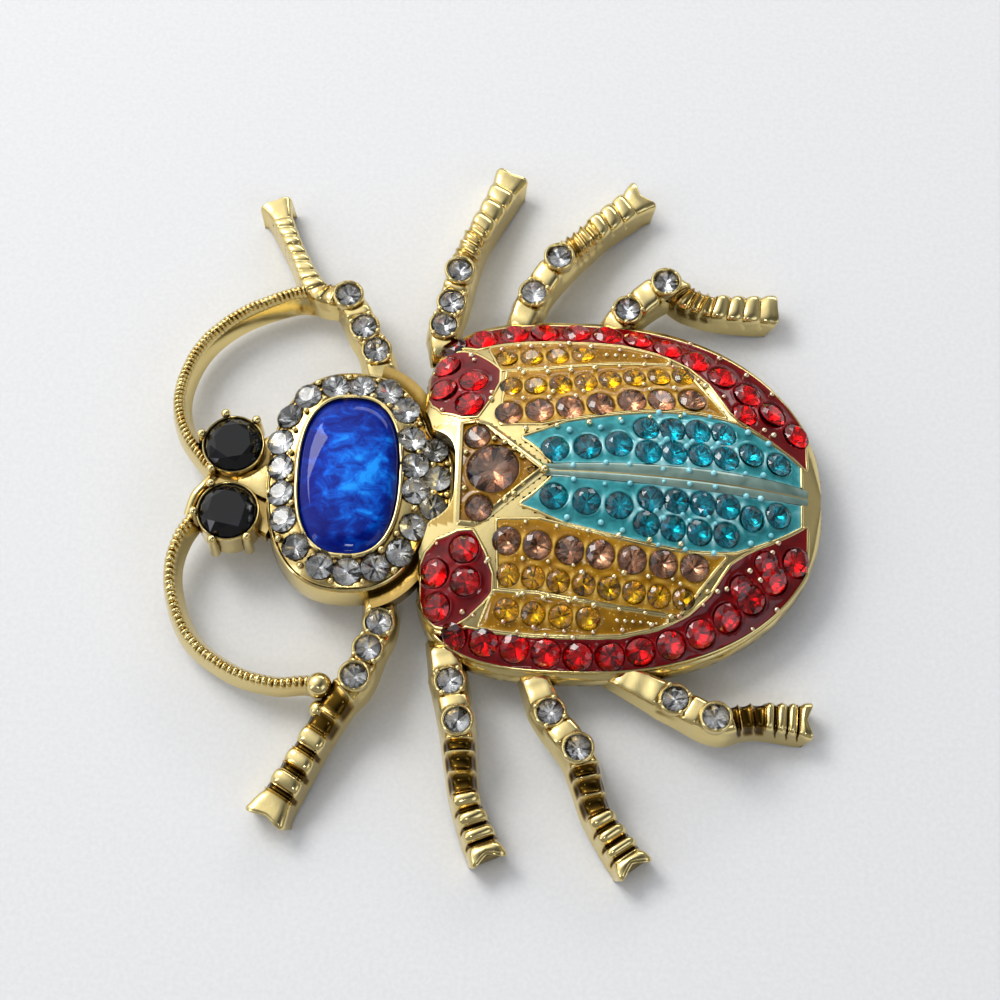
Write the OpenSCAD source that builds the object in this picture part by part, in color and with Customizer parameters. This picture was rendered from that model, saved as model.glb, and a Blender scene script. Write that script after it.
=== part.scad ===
// Insect brooch: a domed, gold-plated beetle with paved and enamelled wing cases, a collar round a
// blue oval, two stone eyes, eight legs, two antennae and a pin across its hollow back.
// +X points to the tail, +Y to the beetle's right and +Z up; it stands on its feet at z = 0.

/* [Body] */
// Length of the domed body, from the shoulders to the tail
body_l = 34.3; // [29:0.1:41]
// Width across both wing cases
body_w = 32.8; // [28:0.1:39]
// Height of the wing cases' rim over the surface
rim_z = 3.6; // [3.4:0.1:4.4]
// Rise of the dome over its rim
dome_h = 5.8; // [4.9:0.1:7]
// Height of the casting's lower edge over the surface
base_z = 2.4; // [2.2:0.1:2.8]
// Wall of the hollow casting
wall = 1.8; // [1.6:0.1:2.2]
// Depth of the recesses that hold paving
recess = 0.8; // [0.6:0.05:0.9]
// Gap round each piece set in the casting
gap = 0.05; // [0.04:0.01:0.1]
// Width of the metal line left between two panels
divider = 0.45; // [0.35:0.05:0.6]
// Width of the metal edge round the collar's paving
collar_edge = 0.5; // [0.4:0.05:0.8]

/* [Collar] */
// Length of the collar in front of its middle
collar_front_l = 6.85; // [6.6:0.05:8.4]
// Length of the collar behind its middle, at the sides
collar_back_l = 6.9; // [5.8:0.05:8.3]
// Width of the collar
collar_w = 19.8; // [18:0.1:24]
// Length of the collar's lobe behind its middle
lobe_l = 8.6; // [8.2:0.1:10.4]
// Width of the lobe
lobe_w = 8.8; // [7.6:0.1:10.6]
// Height of the collar where it meets the oval's rim
collar_top = 6.4; // [6:0.1:7.4]
// Fall of the collar from there to its outer edge
collar_fall = 1.0; // [0.8:0.1:1.3]
// Groove between the collar and the wing cases
groove = 0.4; // [0.3:0.05:0.6]

/* [Blue oval] */
// Size of the oval along the body
oval_l = 8.4; // [7.4:0.1:9.6]
// Size of the oval across the body
oval_w = 14.1; // [12:0.1:15.6]
// Rise of the oval's dome over its rim
oval_rise = 0.9; // [0.7:0.1:1.4]
// Width of the metal rim round the oval
oval_rim = 0.45; // [0.35:0.05:0.6]

/* [Head] */
// Diameter of an eye stone
eye_d = 4.4; // [3.8:0.1:5.2]
// Distance between the middles of the eyes
eye_pitch = 6.1; // [5.8:0.1:7.2]
// Distance from the collar's middle to the eyes
eye_reach = 10.1; // [9.8:0.1:12.1]
// Height of the eye cups' rims
cup_z = 5.4; // [5:0.1:6]

/* [Scutellum] */
// Length of the triangle behind the collar
scutellum_l = 7.7; // [6.5:0.1:9.2]
// Width of the triangle
scutellum_w = 9.8; // [8.4:0.1:10.6]
// Diameter of the large stone on it
scutellum_stone_d = 4.1; // [3.5:0.1:4.6]

/* [Legs] */
// Reach of the longest leg from the body's edge
leg_reach = 19.5; // [16.5:0.1:23.4]
// Height of the legs' knees
leg_top = 5.0; // [4.6:0.1:6]
// Width of a leg at its knee
leg_w = 2.7; // [2.5:0.1:3.3]
// Diameter of a leg stone
leg_stone_d = 2.1; // [1.8:0.05:2.4]
// Distance that a leg's root runs into the body
leg_root = 1.0; // [0.8:0.1:1.3]

/* [Antennae] */
// Width of an antenna
antenna_w = 1.1; // [0.9:0.05:1.4]
// Depth of an antenna
antenna_h = 2.0; // [1.6:0.1:2.4]
// How far the right antenna bows outward
antenna_bow_r = 6.9; // [5.8:0.1:8.3]
// How far the left antenna bows outward
antenna_bow_l = 7.6; // [6.4:0.1:9.1]

/* [Pin] */
// Length of the pin's bar
pin_l = 22; // [18.4:0.1:24]
// Width of the bar
pin_bar_w = 3.2; // [2.8:0.1:4]
// Diameter of the stem
pin_stem_d = 0.8; // [0.7:0.05:1]
// Height of the stem's middle over the surface
pin_stem_z = 1.2; // [1.1:0.05:1.4]
// Height of the bar's seat over the surface
pin_seat_z = 3.7; // [3.5:0.1:4]

/* [Hidden] */
PANELS = ["shoulder_pave", "edge_pave", "amber_strip", "amber_band", "teal_band"];
SIDES = ["right", "left"];

// Each leg: name, side, root as a share of the body length, its rows, and the rows that carry a stone.
// A row: how far out and how far aft of the root, as shares of leg_reach, its top and underside as
// shares of leg_top, and its width as a share of leg_w.
LEGS = [
    ["fore_leg_right", 1, -0.09,
        [[0.00, 0.00, 0.80, 0.50, 1.25], [0.23, -0.06, 0.88, 0.46, 1.05], [0.34, -0.12, 0.92, 0.44, 1.00],
         [0.49, -0.20, 0.96, 0.40, 1.00], [0.53, -0.34, 0.90, 0.36, 0.84], [0.76, -0.46, 0.66, 0.14, 0.64],
         [1.03, -0.58, 0.46, 0.00, 0.84]], [1, 2, 3]],
    ["fore_leg_left", -1, -0.09,
        [[0.00, 0.00, 0.80, 0.50, 1.25], [0.20, 0.02, 0.88, 0.46, 1.05], [0.32, -0.02, 0.92, 0.44, 1.00],
         [0.45, -0.07, 0.98, 0.40, 1.05], [0.55, -0.15, 0.92, 0.34, 1.05], [0.73, -0.25, 0.72, 0.16, 0.95],
         [1.04, -0.42, 0.50, 0.00, 1.20]], [1, 2, 3]],
    ["front_leg_right", 1, 0.05,
        [[0.00, 0.00, 0.80, 0.50, 1.20], [0.17, -0.01, 0.86, 0.46, 1.05], [0.28, 0.02, 0.90, 0.44, 1.00],
         [0.43, 0.05, 0.98, 0.40, 1.00], [0.61, 0.10, 0.86, 0.26, 0.90], [0.78, 0.17, 0.68, 0.10, 0.90],
         [1.01, 0.27, 0.50, 0.00, 1.15]], [1, 2, 3]],
    ["front_leg_left", -1, 0.07,
        [[0.00, 0.00, 0.80, 0.50, 1.25], [0.21, 0.05, 0.88, 0.46, 1.10], [0.39, 0.09, 0.98, 0.40, 1.05],
         [0.55, 0.11, 0.86, 0.28, 0.95], [0.71, 0.14, 0.72, 0.14, 0.90], [0.94, 0.24, 0.50, 0.00, 1.15]],
        [1, 2]],
    ["middle_leg_right", 1, 0.23,
        [[0.00, 0.00, 0.80, 0.50, 1.25], [0.19, 0.07, 0.88, 0.46, 1.05], [0.36, 0.18, 0.98, 0.40, 1.05],
         [0.48, 0.28, 0.84, 0.26, 0.95], [0.60, 0.38, 0.70, 0.12, 0.95], [0.77, 0.56, 0.50, 0.00, 1.15]],
        [1, 2]],
    ["middle_leg_left", -1, 0.29,
        [[0.00, 0.00, 0.80, 0.50, 1.25], [0.21, 0.09, 0.88, 0.46, 1.05], [0.37, 0.21, 0.98, 0.40, 1.05],
         [0.50, 0.26, 0.86, 0.28, 0.95], [0.63, 0.31, 0.72, 0.14, 0.90], [0.835, 0.46, 0.50, 0.00, 1.15]],
        [1, 2]],
    ["hind_leg_right", 1, 0.46,
        [[0.00, 0.00, 0.80, 0.50, 1.25], [0.11, 0.09, 0.88, 0.46, 1.05], [0.24, 0.26, 0.98, 0.40, 1.05],
         [0.19, 0.37, 0.86, 0.30, 0.95], [0.17, 0.51, 0.72, 0.16, 0.95], [0.19, 0.77, 0.50, 0.00, 1.15]],
        [1, 2]],
    ["hind_leg_left", -1, 0.48,
        [[0.00, 0.00, 0.80, 0.50, 1.20], [0.14, 0.28, 0.90, 0.44, 1.05], [0.22, 0.45, 0.98, 0.38, 1.05],
         [0.20, 0.55, 0.86, 0.26, 0.95], [0.18, 0.65, 0.72, 0.12, 0.95], [0.18, 0.86, 0.50, 0.00, 1.20]],
        [1, 2]]
];

// Antenna rows: share of the way from the head to the foreleg's knee, bow as a share of the antenna's
// bow, and top as a share of leg_top
ANTENNA_RIGHT = [[0.00, 0.00, 0.86], [0.11, 0.56, 0.84], [0.28, 0.91, 0.78], [0.52, 1.00, 0.72],
                 [0.74, 0.79, 0.72], [0.94, 0.33, 0.76], [1.00, 0.05, 0.80]];
ANTENNA_LEFT = [[0.00, 0.00, 0.86], [0.08, 0.52, 0.84], [0.22, 0.86, 0.78], [0.45, 1.00, 0.72],
                [0.66, 0.80, 0.72], [0.80, 0.46, 0.74], [0.88, 0.11, 0.78], [1.00, 0.00, 0.82]];

// Lines between the panels on one wing case. A row: place along the body, 0 at the shoulders and 1 at
// the tail, and distance from the middle line as a share of the half width there.
RIM_LINE = [[0.00, 0.975], [1.00, 0.975]];
RED_LINE = [[0.00, 0.860], [0.15, 0.820], [0.50, 0.815], [0.60, 0.790], [0.67, 0.740], [0.72, 0.660],
            [0.77, 0.500], [0.81, 0.450], [0.88, 0.410], [0.95, 0.370], [1.00, 0.330]];
AMBER_LINE = [[0.10, 0.620], [0.30, 0.620], [0.42, 0.655], [0.54, 0.695], [0.68, 0.765]];
TEAL_LINE = [[0.10, 0.300], [0.19, 0.262], [0.30, 0.255], [0.36, 0.285], [0.47, 0.335], [0.58, 0.385],
             [0.68, 0.425], [0.78, 0.450], [0.88, 0.410], [0.95, 0.370], [1.00, 0.330]];
RIDGE_LINE = [[0.24, 0.015], [0.34, 0.025], [0.50, 0.040], [0.70, 0.055], [0.85, 0.065], [1.00, 0.080]];
TEAL_TIP_LINE = [[0.24, 0.185], [0.30, 0.230], [0.36, 0.285], [0.47, 0.335], [0.58, 0.385],
                 [0.68, 0.425], [0.78, 0.450], [0.88, 0.410], [0.95, 0.370], [1.00, 0.330]];
SHOULDER_OUT = [[0.00, 0.950], [0.035, 0.950], [0.06, 0.925], [0.09, 0.880], [0.13, 0.800], [0.165, 0.715],
                [0.20, 0.620]];
SHOULDER_IN = [[0.00, 0.700], [0.015, 0.700], [0.03, 0.540], [0.055, 0.420], [0.105, 0.340], [0.14, 0.325],
               [0.17, 0.430], [0.20, 0.590]];

// Each panel: colour, inner and outer line, and where it starts and ends along its inner and outer line
PANEL_DATA = [
    ["darkred", SHOULDER_IN, SHOULDER_OUT, [0.012, 0.012], [0.196, 0.196]],
    ["red", RED_LINE, RIM_LINE, [0.125, 0.050], [0.965, 0.965]],
    ["goldenrod", AMBER_LINE, RED_LINE, [0.190, 0.160], [0.620, 0.620]],
    ["darkgoldenrod", TEAL_LINE, AMBER_LINE, [0.195, 0.205], [0.760, 0.650]],
    ["teal", RIDGE_LINE, TEAL_TIP_LINE, [0.325, 0.250], [0.950, 0.950]]
];

// Cups and prongs: the metal round a stone, a prong's size and its reach over the cup
eye_cup_edge = 0.5;
leg_cup_edge = 0.3;
prong_d = 0.8;
prong_over = 0.5;
// Stones: depth below the girdle, height above it, and the table as a share of the diameter
eye_seat = 1.1;
eye_over = 1.0;
leg_stone_seat = 0.55;
leg_stone_over = 0.45;
large_stone_seat = 0.6;
large_stone_over = 0.7;
stone_table = 0.6;
stone_foot = 0.8;
// Webs that join the head to the collar: their radius, their height and how far in they start
web_r = 1.2;
web_h = 1.8;
web_lift = 0.15;
web_in = 1.0;
// Scutellum: half width along its length as a share of its width, its metal edge and its lift
SCUTELLUM = [[0.00, 0.475], [0.20, 0.500], [0.32, 0.460], [1.00, 0.000]];
scutellum_tuck = 3.4;
scutellum_rim = 0.55;
scutellum_lift = 0.3;
// How far the collar's lobe runs in behind the shoulders
lobe_tuck = 2.8;
// Metal over the hollow under the blue oval, and the enamel's depth
roof_t = 1.5;
enamel_deep = 0.9;
oval_rim_h = 0.5;
// The pin's parts: bar, hinge block, catch, point and the pads that carry them
pin_bar_t = 0.9;
pin_block = 2.4;
catch_r = 0.85;
catch_l = 2;
catch_web = 1.2;
stem_tip = 1.2;
stem_tip_d = 0.2;
pad_l = 3;
// Facets of a smooth round piece, and of one that the casting carries
fine = 48;
coarse = 10;
// Taller than any cut goes
clear_h = 20;

body_front = -0.183 * body_l;
wide_x = body_front + 0.391 * body_l;
tail_x = body_front + body_l;
front_l = wide_x - body_front;
rear_l = tail_x - wide_x;
collar_x = body_front + lobe_tuck - lobe_l;
eye_x = collar_x - eye_reach;
cup_d = eye_d + 2 * eye_cup_edge;
antenna_root_x = eye_x - 0.55 * cup_d;
// Middle of the whole outline along the body, which is set over the origin
middle_x = (tail_x + antenna_root_x - 0.46 * antenna_bow_r) / 2;
pin_x = body_front + 0.24 * body_l;
seat_y = 0.36 * pin_l;
scutellum_x = body_front + scutellum_tuck;
rim_top = collar_top + oval_rim_h;
oval_seat = collar_top - enamel_deep;
collar_roof = collar_top - recess - roof_t;

function mix(a, b, t) = a + (b - a) * t;
function half_w(x) =
    let(u = min(0.9999, x < wide_x ? (wide_x - x) / front_l : (x - wide_x) / rear_l))
    body_w / 2 * (x < wide_x ? pow(1 - pow(u, 3), 1 / 5) : pow(1 - pow(u, 2.2), 1 / 2.2));
function crest_z(x) =
    let(u = min(0.9999, x < wide_x ? 0.61 * (wide_x - x) / front_l : 0.972 * (x - wide_x) / rear_l))
    rim_z + dome_h * pow(1 - u * u, 0.9);
function dome_z(x, s) = rim_z + (crest_z(x) - rim_z) * pow(1 - min(1, s * s), 0.9);
// Where the scutellum's large stone stands: its girdle lies just under the paving's face
stone_x = scutellum_x + 0.35 * scutellum_l;
stone_z = crest_z(stone_x) - 2 * gap;

// Radius of a rounded oval at an angle, from its two half sizes and its squareness
function oval_r(a, half_x, half_y, power) =
    pow(pow(abs(cos(a)) / half_x, power) + pow(abs(sin(a)) / half_y, power), -1 / power);
function rim_r(a) = oval_r(a, oval_l / 2, oval_w / 2, 2.6);
function collar_r(a) =
    let(side = oval_r(a, cos(a) < 0 ? collar_front_l : collar_back_l, collar_w / 2, 2.4))
    cos(a) > 0 ? max(side, oval_r(a, lobe_l, lobe_w / 2, 4)) : side;
function collar_z(q) = collar_top - collar_fall * pow(q, 1.7);

// A smooth curve through rows of numbers, with n steps between two rows
function curve_at(r, i, t) =
    let(k = len(r) - 1, a = r[max(0, i - 1)], b = r[i], c = r[min(k, i + 1)], d = r[min(k, i + 2)])
    0.5 * (2 * b + (c - a) * t + (2 * a - 5 * b + 4 * c - d) * t * t + (3 * b - a - 3 * c + d) * t * t * t);
function curve(r, n) =
    concat([for (i = [0 : len(r) - 2], j = [0 : n - 1]) curve_at(r, i, j / n)], [r[len(r) - 1]]);

// Two triangles of a four-sided face
function two(a, b, c, d) = [[a, b, c], [a, c, d]];
function flat(l) = [for (a = l, b = a) b];

// A solid between an upper and a lower sheet of points, each given in rows; a ring's rows close
module slab(top, low, ring = false) {
    n = len(top);
    m = len(top[0]);
    low_0 = n * m;
    steps = ring ? m - 1 : m - 2;
    faces = concat(
        [for (i = [0 : n - 2], j = [0 : steps]) let(k = (j + 1) % m)
            two(i * m + j, i * m + k, (i + 1) * m + k, (i + 1) * m + j)],
        [for (i = [0 : n - 2], j = [0 : steps]) let(k = (j + 1) % m)
            two(low_0 + (i + 1) * m + j, low_0 + (i + 1) * m + k, low_0 + i * m + k, low_0 + i * m + j)],
        [for (j = [0 : steps]) let(k = (j + 1) % m) two(k, j, low_0 + j, low_0 + k)],
        [for (j = [0 : steps]) let(k = (j + 1) % m, e = (n - 1) * m)
            two(e + j, e + k, low_0 + e + k, low_0 + e + j)],
        ring ? [] : [for (i = [0 : n - 2]) two(i * m, (i + 1) * m, low_0 + (i + 1) * m, low_0 + i * m)],
        ring ? [] : [for (i = [0 : n - 2]) let(e = m - 1)
            two((i + 1) * m + e, i * m + e, low_0 + i * m + e, low_0 + (i + 1) * m + e)]);
    polyhedron(points = concat(flat(top), flat(low)), faces = flat(faces));
}

// A solid through closed loops of points, with flat ends
module loft(loops) {
    n = len(loops);
    m = len(loops[0]);
    faces = concat(
        [for (i = [0 : n - 2], j = [0 : m - 1]) let(k = (j + 1) % m)
            two(i * m + j, i * m + k, (i + 1) * m + k, (i + 1) * m + j)],
        [[for (j = [1 : m - 2]) [0, j + 1, j]]],
        [[for (j = [1 : m - 2]) let(e = (n - 1) * m) [e, e + j, e + j + 1]]]);
    polyhedron(points = flat(loops), faces = flat(faces));
}

// Stations along the body, closer together at its ends
function station(i, n, front_a, rear_a) =
    let(a = mix(-front_a, rear_a, i / n)) wide_x + (a < 0 ? front_l : rear_l) * sin(a);

// The domed body, smaller by inset and lower by drop, down to the height low_z
module dome(inset, drop, low_z, front_a, rear_a, n, m) {
    top = [for (i = [0 : n]) let(x = station(i, n, front_a, rear_a))
        [for (j = [0 : m]) let(s = sin(mix(-90, 90, j / m)))
            [x, s * (half_w(x) - inset), max(low_z + 0.1, dome_z(x, s) - drop)]]];
    slab(top, [for (row = top) [for (p = row) [p.x, p.y, low_z]]]);
}

// One panel of a wing case, half a divider inside its lines: grown sideways and downward by extra, and
// its top lifted over the dome by lift
module panel(data, side, extra, lift, n = 9, m = 3) {
    top = [for (i = [0 : n])
        [for (j = [0 : m]) let(
            v = j / m,
            start = mix(data[3][0], data[3][1], v),
            end = mix(data[4][0], data[4][1], v),
            inset = divider / 2 - extra,
            margin = inset / body_l,
            x = body_front + body_l * mix(start + margin, end - margin, i / n),
            share = (x - body_front) / body_l,
            low_s = lookup(share, data[1]) + inset / half_w(x),
            high_s = lookup(share, data[2]) - inset / half_w(x),
            s = mix(low_s, high_s, v))
            [x, s * half_w(x), dome_z(x, s)]]];
    deep = recess + 2 * (extra - gap);
    rise = [for (row = top) [for (p = row) [p.x, p.y, p.z + lift]]];
    sink = [for (row = top) [for (p = row) [p.x, p.y, p.z - deep]]];
    if (side > 0) slab(rise, sink);
    else mirror([0, 1, 0]) slab(rise, sink);
}

// The beetle's pieces are laid out from the body and set over the origin here
module placed() { translate([-middle_x, 0, 0]) children(); }

// The plate of the scutellum, kept in from its outline by inset, on the dome or lifted, and deep below it
module scutellum_plate(inset, lift, deep) {
    first = inset / scutellum_l;
    last = 1 - 1.9 * inset / scutellum_l - 0.01;
    top = [for (i = [0 : 8]) let(t = mix(first, last, i / 8), x = scutellum_x + t * scutellum_l,
            half = lookup(t, SCUTELLUM) * scutellum_w - inset * (t < 0.3 ? 1 : 1.15))
        [for (j = [0 : 4]) let(y = half * (j - 2) / 2) [x, y, dome_z(x, y / half_w(x)) + lift]]];
    slab(top, [for (row = top) [for (p = row) [p.x, p.y, p.z - lift - deep]]]);
}

// A round cut stone: its seat below the girdle and its crown above, with a flat table
module chaton(d, seat, over) {
    union() {
        translate([0, 0, -seat]) cylinder(d1 = stone_foot * d, d2 = d, h = seat, $fn = fine);
        cylinder(d1 = d, d2 = stone_table * d, h = over, $fn = fine);
    }
}

// Rows of the sloping ring from the oval's rim to the collar's edge, kept in from both, and lifted. Its
// corners are turned by turn, so that the recess has none right over those of the collar.
function collar_ring(in_gap, out_gap, lift, turn = 5) = [for (i = [0 : 3]) [for (k = [0 : 35]) let(
    a = k * 10 + turn,
    inner = rim_r(a) + oval_rim,
    outer = collar_r(a),
    r = mix(inner + in_gap, outer - out_gap, i / 3),
    share = (r - inner) / (outer - inner))
    [collar_x + r * cos(a), r * sin(a), collar_z(max(0, min(1, share))) + lift]]];

module ring_slab(top, deep) { slab(top, [for (row = top) [for (p = row) [p.x, p.y, p.z - deep]]], true); }

module oval_outline(grow) {
    polygon([for (k = [0 : 47]) let(a = (k + 0.5) * 7.5, r = rim_r(a) + grow) [r * cos(a), r * sin(a)]]);
}

module collar_outline(grow) {
    polygon([for (k = [0 : 35]) let(a = k * 10, r = collar_r(a) + grow) [r * cos(a), r * sin(a)]]);
}

// The collar: a sloping ring and the upright rim of the oval
module collar_body() {
    ring = collar_ring(-oval_rim / 2, 0, 0, 0);
    slab(ring, [for (row = ring) [for (p = row) [p.x, p.y, base_z]]], true);
    translate([collar_x, 0, base_z]) linear_extrude(rim_top - base_z) oval_outline(oval_rim);
}

// The recess for the collar's paving
module collar_recess() { ring_slab(collar_ring(0.1, collar_edge, 3), 3 + recess); }

// A post of a web, with its foot a little over the casting's lower edge
module web_post(x, y, lift, h) { translate([x, y, base_z + lift]) cylinder(r = web_r, h = h, $fn = coarse); }

// The two eye cups with their prongs, and the webs that carry them on the collar
module head_body() {
    prong_r = (cup_d - prong_d) / 2;
    prong_z = base_z + 3 * web_lift;
    collar_in = collar_x - collar_front_l + web_in;
    for (side = [-1, 1]) {
        translate([eye_x, side * eye_pitch / 2, base_z])
            cylinder(d = cup_d, h = cup_z - base_z, $fn = 2 * coarse);
        hull() {
            web_post(eye_x + web_in, side * 0.26 * eye_pitch, web_lift, web_h);
            web_post(collar_in, side * 0.52 * eye_pitch, web_lift, web_h);
        }
        for (a = [45 : 90 : 315])
            translate([eye_x, side * eye_pitch / 2, prong_z]) rotate([0, 0, a])
                translate([prong_r, 0, 0]) cylinder(d = prong_d, h = cup_z - prong_z + prong_over, $fn = 6);
    }
    hull() for (side = [-1, 1]) {
        web_post(eye_x - 0.36 * cup_d, side * 0.2 * eye_pitch, 2 * web_lift, 0.85 * web_h);
        web_post(collar_in, side * 0.25 * eye_pitch, 2 * web_lift, 1.1 * web_h);
    }
}

function root_x(leg) = body_front + leg[2] * body_l;
function root_y(leg) = leg[2] < 0 ? collar_w / 2 - 0.6 - leg_root : half_w(root_x(leg)) - leg_root;
// A row of a leg in millimetres: place, top, underside and width
function leg_at(leg, row) = [
    root_x(leg) + row[1] * leg_reach, leg[1] * (root_y(leg) + row[0] * leg_reach),
    row[2] * leg_top, row[3] * leg_top, row[4] * leg_w];

// The outline of a leg or antenna across its run: a draughted foot, upright cheeks and a round top
function section(p, along, wide_foot) = let(
    d = along / norm(along), nx = -d.y, ny = d.x, w = p[4] / 2, h = p[2] - p[3])
    [for (q = [[-wide_foot, 0], [-1, 0.55], [-0.75, 0.85], [0, 1], [0.75, 0.85], [1, 0.55], [wide_foot, 0]])
        [p[0] + nx * w * q.x, p[1] + ny * w * q.x, p[3] + h * q.y]];

function run_loops(rows, wide_foot) = let(n = len(rows) - 1) [for (i = [0 : n]) let(
    a = rows[max(0, i - 1)], b = rows[min(n, i + 1)]) section(rows[i], [b[0] - a[0], b[1] - a[1]], wide_foot)];

module leg_body(leg) {
    rows = curve([for (r = leg[3]) leg_at(leg, r)], 2);
    loft(run_loops(rows, 1.15));
}

function knee_row(leg) = leg_at(leg, leg[3][4]);
function antenna_rows(leg, bow, table) = let(
    side = leg[1], knee = knee_row(leg), start = [eye_x - 1.8, side * 1.2],
    way = [knee[0] - start.x, knee[1] - start.y], out = [-abs(way.y), side * way.x] / norm(way))
    [for (r = table) [start.x + r[0] * way.x + r[1] * bow * out.x, start.y + r[0] * way.y + r[1] * bow * out.y,
        r[2] * leg_top, r[2] * leg_top - antenna_h, antenna_w]];

module antenna(leg, bow, table) {
    loft(run_loops(curve(antenna_rows(leg, bow, table), 2), 1.2));
}

// The seat of each leg stone: the leg, the row it stands on, and its name
STONES = [for (leg = LEGS, k = [0 : len(leg[4]) - 1]) [leg, leg[3][leg[4][k]], str(leg[0], "_stone_", k + 1)]];
function stone_at(s) = let(p = leg_at(s[0], s[1])) [p[0], p[1], p[2] + leg_cup_edge / 2];

// Cups of the leg stones, tapering down into the legs
module stone_cups() {
    lip = 0.1;
    for (s = STONES) translate(stone_at(s)) hull() {
        translate([0, 0, -lip]) cylinder(d = leg_stone_d + 2 * leg_cup_edge, h = lip, $fn = coarse);
        translate([0, 0, -0.3 * leg_top]) cylinder(d = leg_stone_d, h = lip, $fn = coarse);
    }
}

// Everything in metal except the pin: body, collar, head, legs and antennae in one casting
module casting() {
    color("#c9b56a") placed() difference() {
        union() {
            difference() {
                dome(0, 0, base_z, 77, 84, 18, 14);
                dome(wall, wall * 1.1, base_z - 1, 44, 70, 8, 8);
                translate([collar_x, 0, base_z + recess + groove]) linear_extrude(clear_h)
                    collar_outline(groove);
                for (data = PANEL_DATA, side = [-1, 1]) panel(data, side, gap, 2);
            }
            intersection() {
                scutellum_plate(0, scutellum_lift, wall - scutellum_lift);
                translate([scutellum_x, -body_w, 0]) cube([body_l, 2 * body_w, clear_h]);
            }
            difference() {
                collar_body();
                translate([collar_x, 0, base_z - 1]) linear_extrude(collar_roof - base_z + 1)
                    oval_outline(-oval_rim / 2);
                translate([collar_x, 0, oval_seat - gap]) linear_extrude(clear_h) oval_outline(gap);
                collar_recess();
            }
            difference() {
                union() {
                    head_body();
                    for (leg = LEGS) leg_body(leg);
                    stone_cups();
                }
                collar_recess();
                for (k = [0, 1], side = [-1, 1]) panel(PANEL_DATA[k], side, gap, 2);
            }
            antenna(LEGS[0], antenna_bow_r, ANTENNA_RIGHT);
            antenna(LEGS[1], antenna_bow_l, ANTENNA_LEFT);
            for (side = [-1, 1]) translate([pin_x - pin_bar_w / 2, side * seat_y - pad_l / 2, pin_seat_z])
                cube([pin_bar_w, pad_l, dome_z(pin_x, seat_y / half_w(pin_x)) - pin_seat_z - 0.8 * wall]);
        }
        scutellum_plate(scutellum_rim, 2, recess);
        translate([stone_x, 0, stone_z - large_stone_seat - gap])
            cylinder(d = (scutellum_stone_d + 2 * gap) / cos(90 / coarse), h = clear_h, $fn = 2 * coarse);
        for (side = [-1, 1]) translate([eye_x, side * eye_pitch / 2, cup_z - eye_seat - 2 * gap])
            cylinder(d = (eye_d + 2 * gap) / cos(90 / coarse), h = clear_h, $fn = 2 * coarse);
        for (s = STONES) translate(stone_at(s) - [0, 0, leg_stone_seat + gap])
            cylinder(d = (leg_stone_d + 2 * gap) / cos(180 / coarse), h = clear_h, $fn = coarse);
    }
}

// The pin across the back: a bar, a hinge block, the stem and its catch in one plain piece
module pin_finding() {
    bar_z = pin_seat_z - gap - pin_bar_t;
    end_y = pin_l / 2;
    color("#b5a46a") placed() translate([pin_x, 0, 0]) difference() {
        union() {
            translate([-pin_bar_w / 2, -end_y, bar_z]) cube([pin_bar_w, pin_l, pin_bar_t]);
            translate([-pin_block / 2, end_y - pin_block, pin_stem_z])
                cube([pin_block, pin_block, bar_z - pin_stem_z + gap]);
            translate([-pin_block / 2, end_y - pin_block / 2, pin_stem_z]) rotate([0, 90, 0])
                cylinder(r = catch_r, h = pin_block, $fn = fine);
            translate([0, -end_y + catch_l, pin_stem_z]) rotate([90, 0, 0])
                cylinder(r = catch_r, h = catch_l, $fn = fine);
            translate([-catch_web / 2, -end_y, pin_stem_z + pin_stem_d / 2])
                cube([catch_web, catch_l, bar_z - pin_stem_z - pin_stem_d / 2 + gap]);
            translate([0, end_y - pin_block / 2, pin_stem_z]) rotate([90, 0, 0])
                cylinder(d = pin_stem_d, h = pin_l - pin_block / 2, $fn = fine);
            translate([0, -end_y, pin_stem_z]) rotate([90, 0, 0])
                cylinder(d1 = pin_stem_d, d2 = stem_tip_d, h = stem_tip, $fn = fine);
        }
        translate([pin_stem_d / 2 + gap, -end_y - gap, pin_stem_z - pin_stem_d / 2])
            cube([catch_r, catch_l + 2 * gap, pin_stem_d]);
    }
}

// The domed blue enamel in the collar
module blue_enamel() {
    top = [for (i = [0 : 10]) let(a = mix(-80, 80, i / 10),
            half = oval_w / 2 * pow(1 - pow(abs(sin(a)), 2.6), 1 / 2.6))
        [for (j = [0 : 12]) let(b = mix(-90, 90, j / 12))
            [collar_x + oval_l / 2 * sin(a), half * sin(b), rim_top - 2 * gap + oval_rise * cos(a) * cos(b)]]];
    color("#0b3fd0") placed() slab(top, [for (row = top) [for (p = row) [p.x, p.y, oval_seat]]]);
}

module collar_pave() {
    color("#d9dcd6") placed() ring_slab(collar_ring(0.1 + gap, collar_edge + gap, -gap), recess - 2 * gap);
}

module eye_stone(side) {
    color("#111114") placed() translate([eye_x, side * eye_pitch / 2, cup_z - gap])
        chaton(eye_d, eye_seat, eye_over);
}

module scutellum_pave() {
    color("#a9762c") placed() difference() {
        scutellum_plate(scutellum_rim + gap, -gap, recess - gap);
        translate([stone_x, 0, 0]) cylinder(d = scutellum_stone_d + 2 * gap, h = clear_h, $fn = fine);
    }
}

module scutellum_stone() {
    color("#8d7466") placed() translate([stone_x, 0, stone_z])
        chaton(scutellum_stone_d, large_stone_seat, large_stone_over);
}

module wing_panel(data, side) { color(data[0]) placed() panel(data, side, 0, -gap); }

module leg_stone(seat) {
    color("#e6e8ea") placed() translate(stone_at(seat)) chaton(leg_stone_d, leg_stone_seat, leg_stone_over);
}

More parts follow.
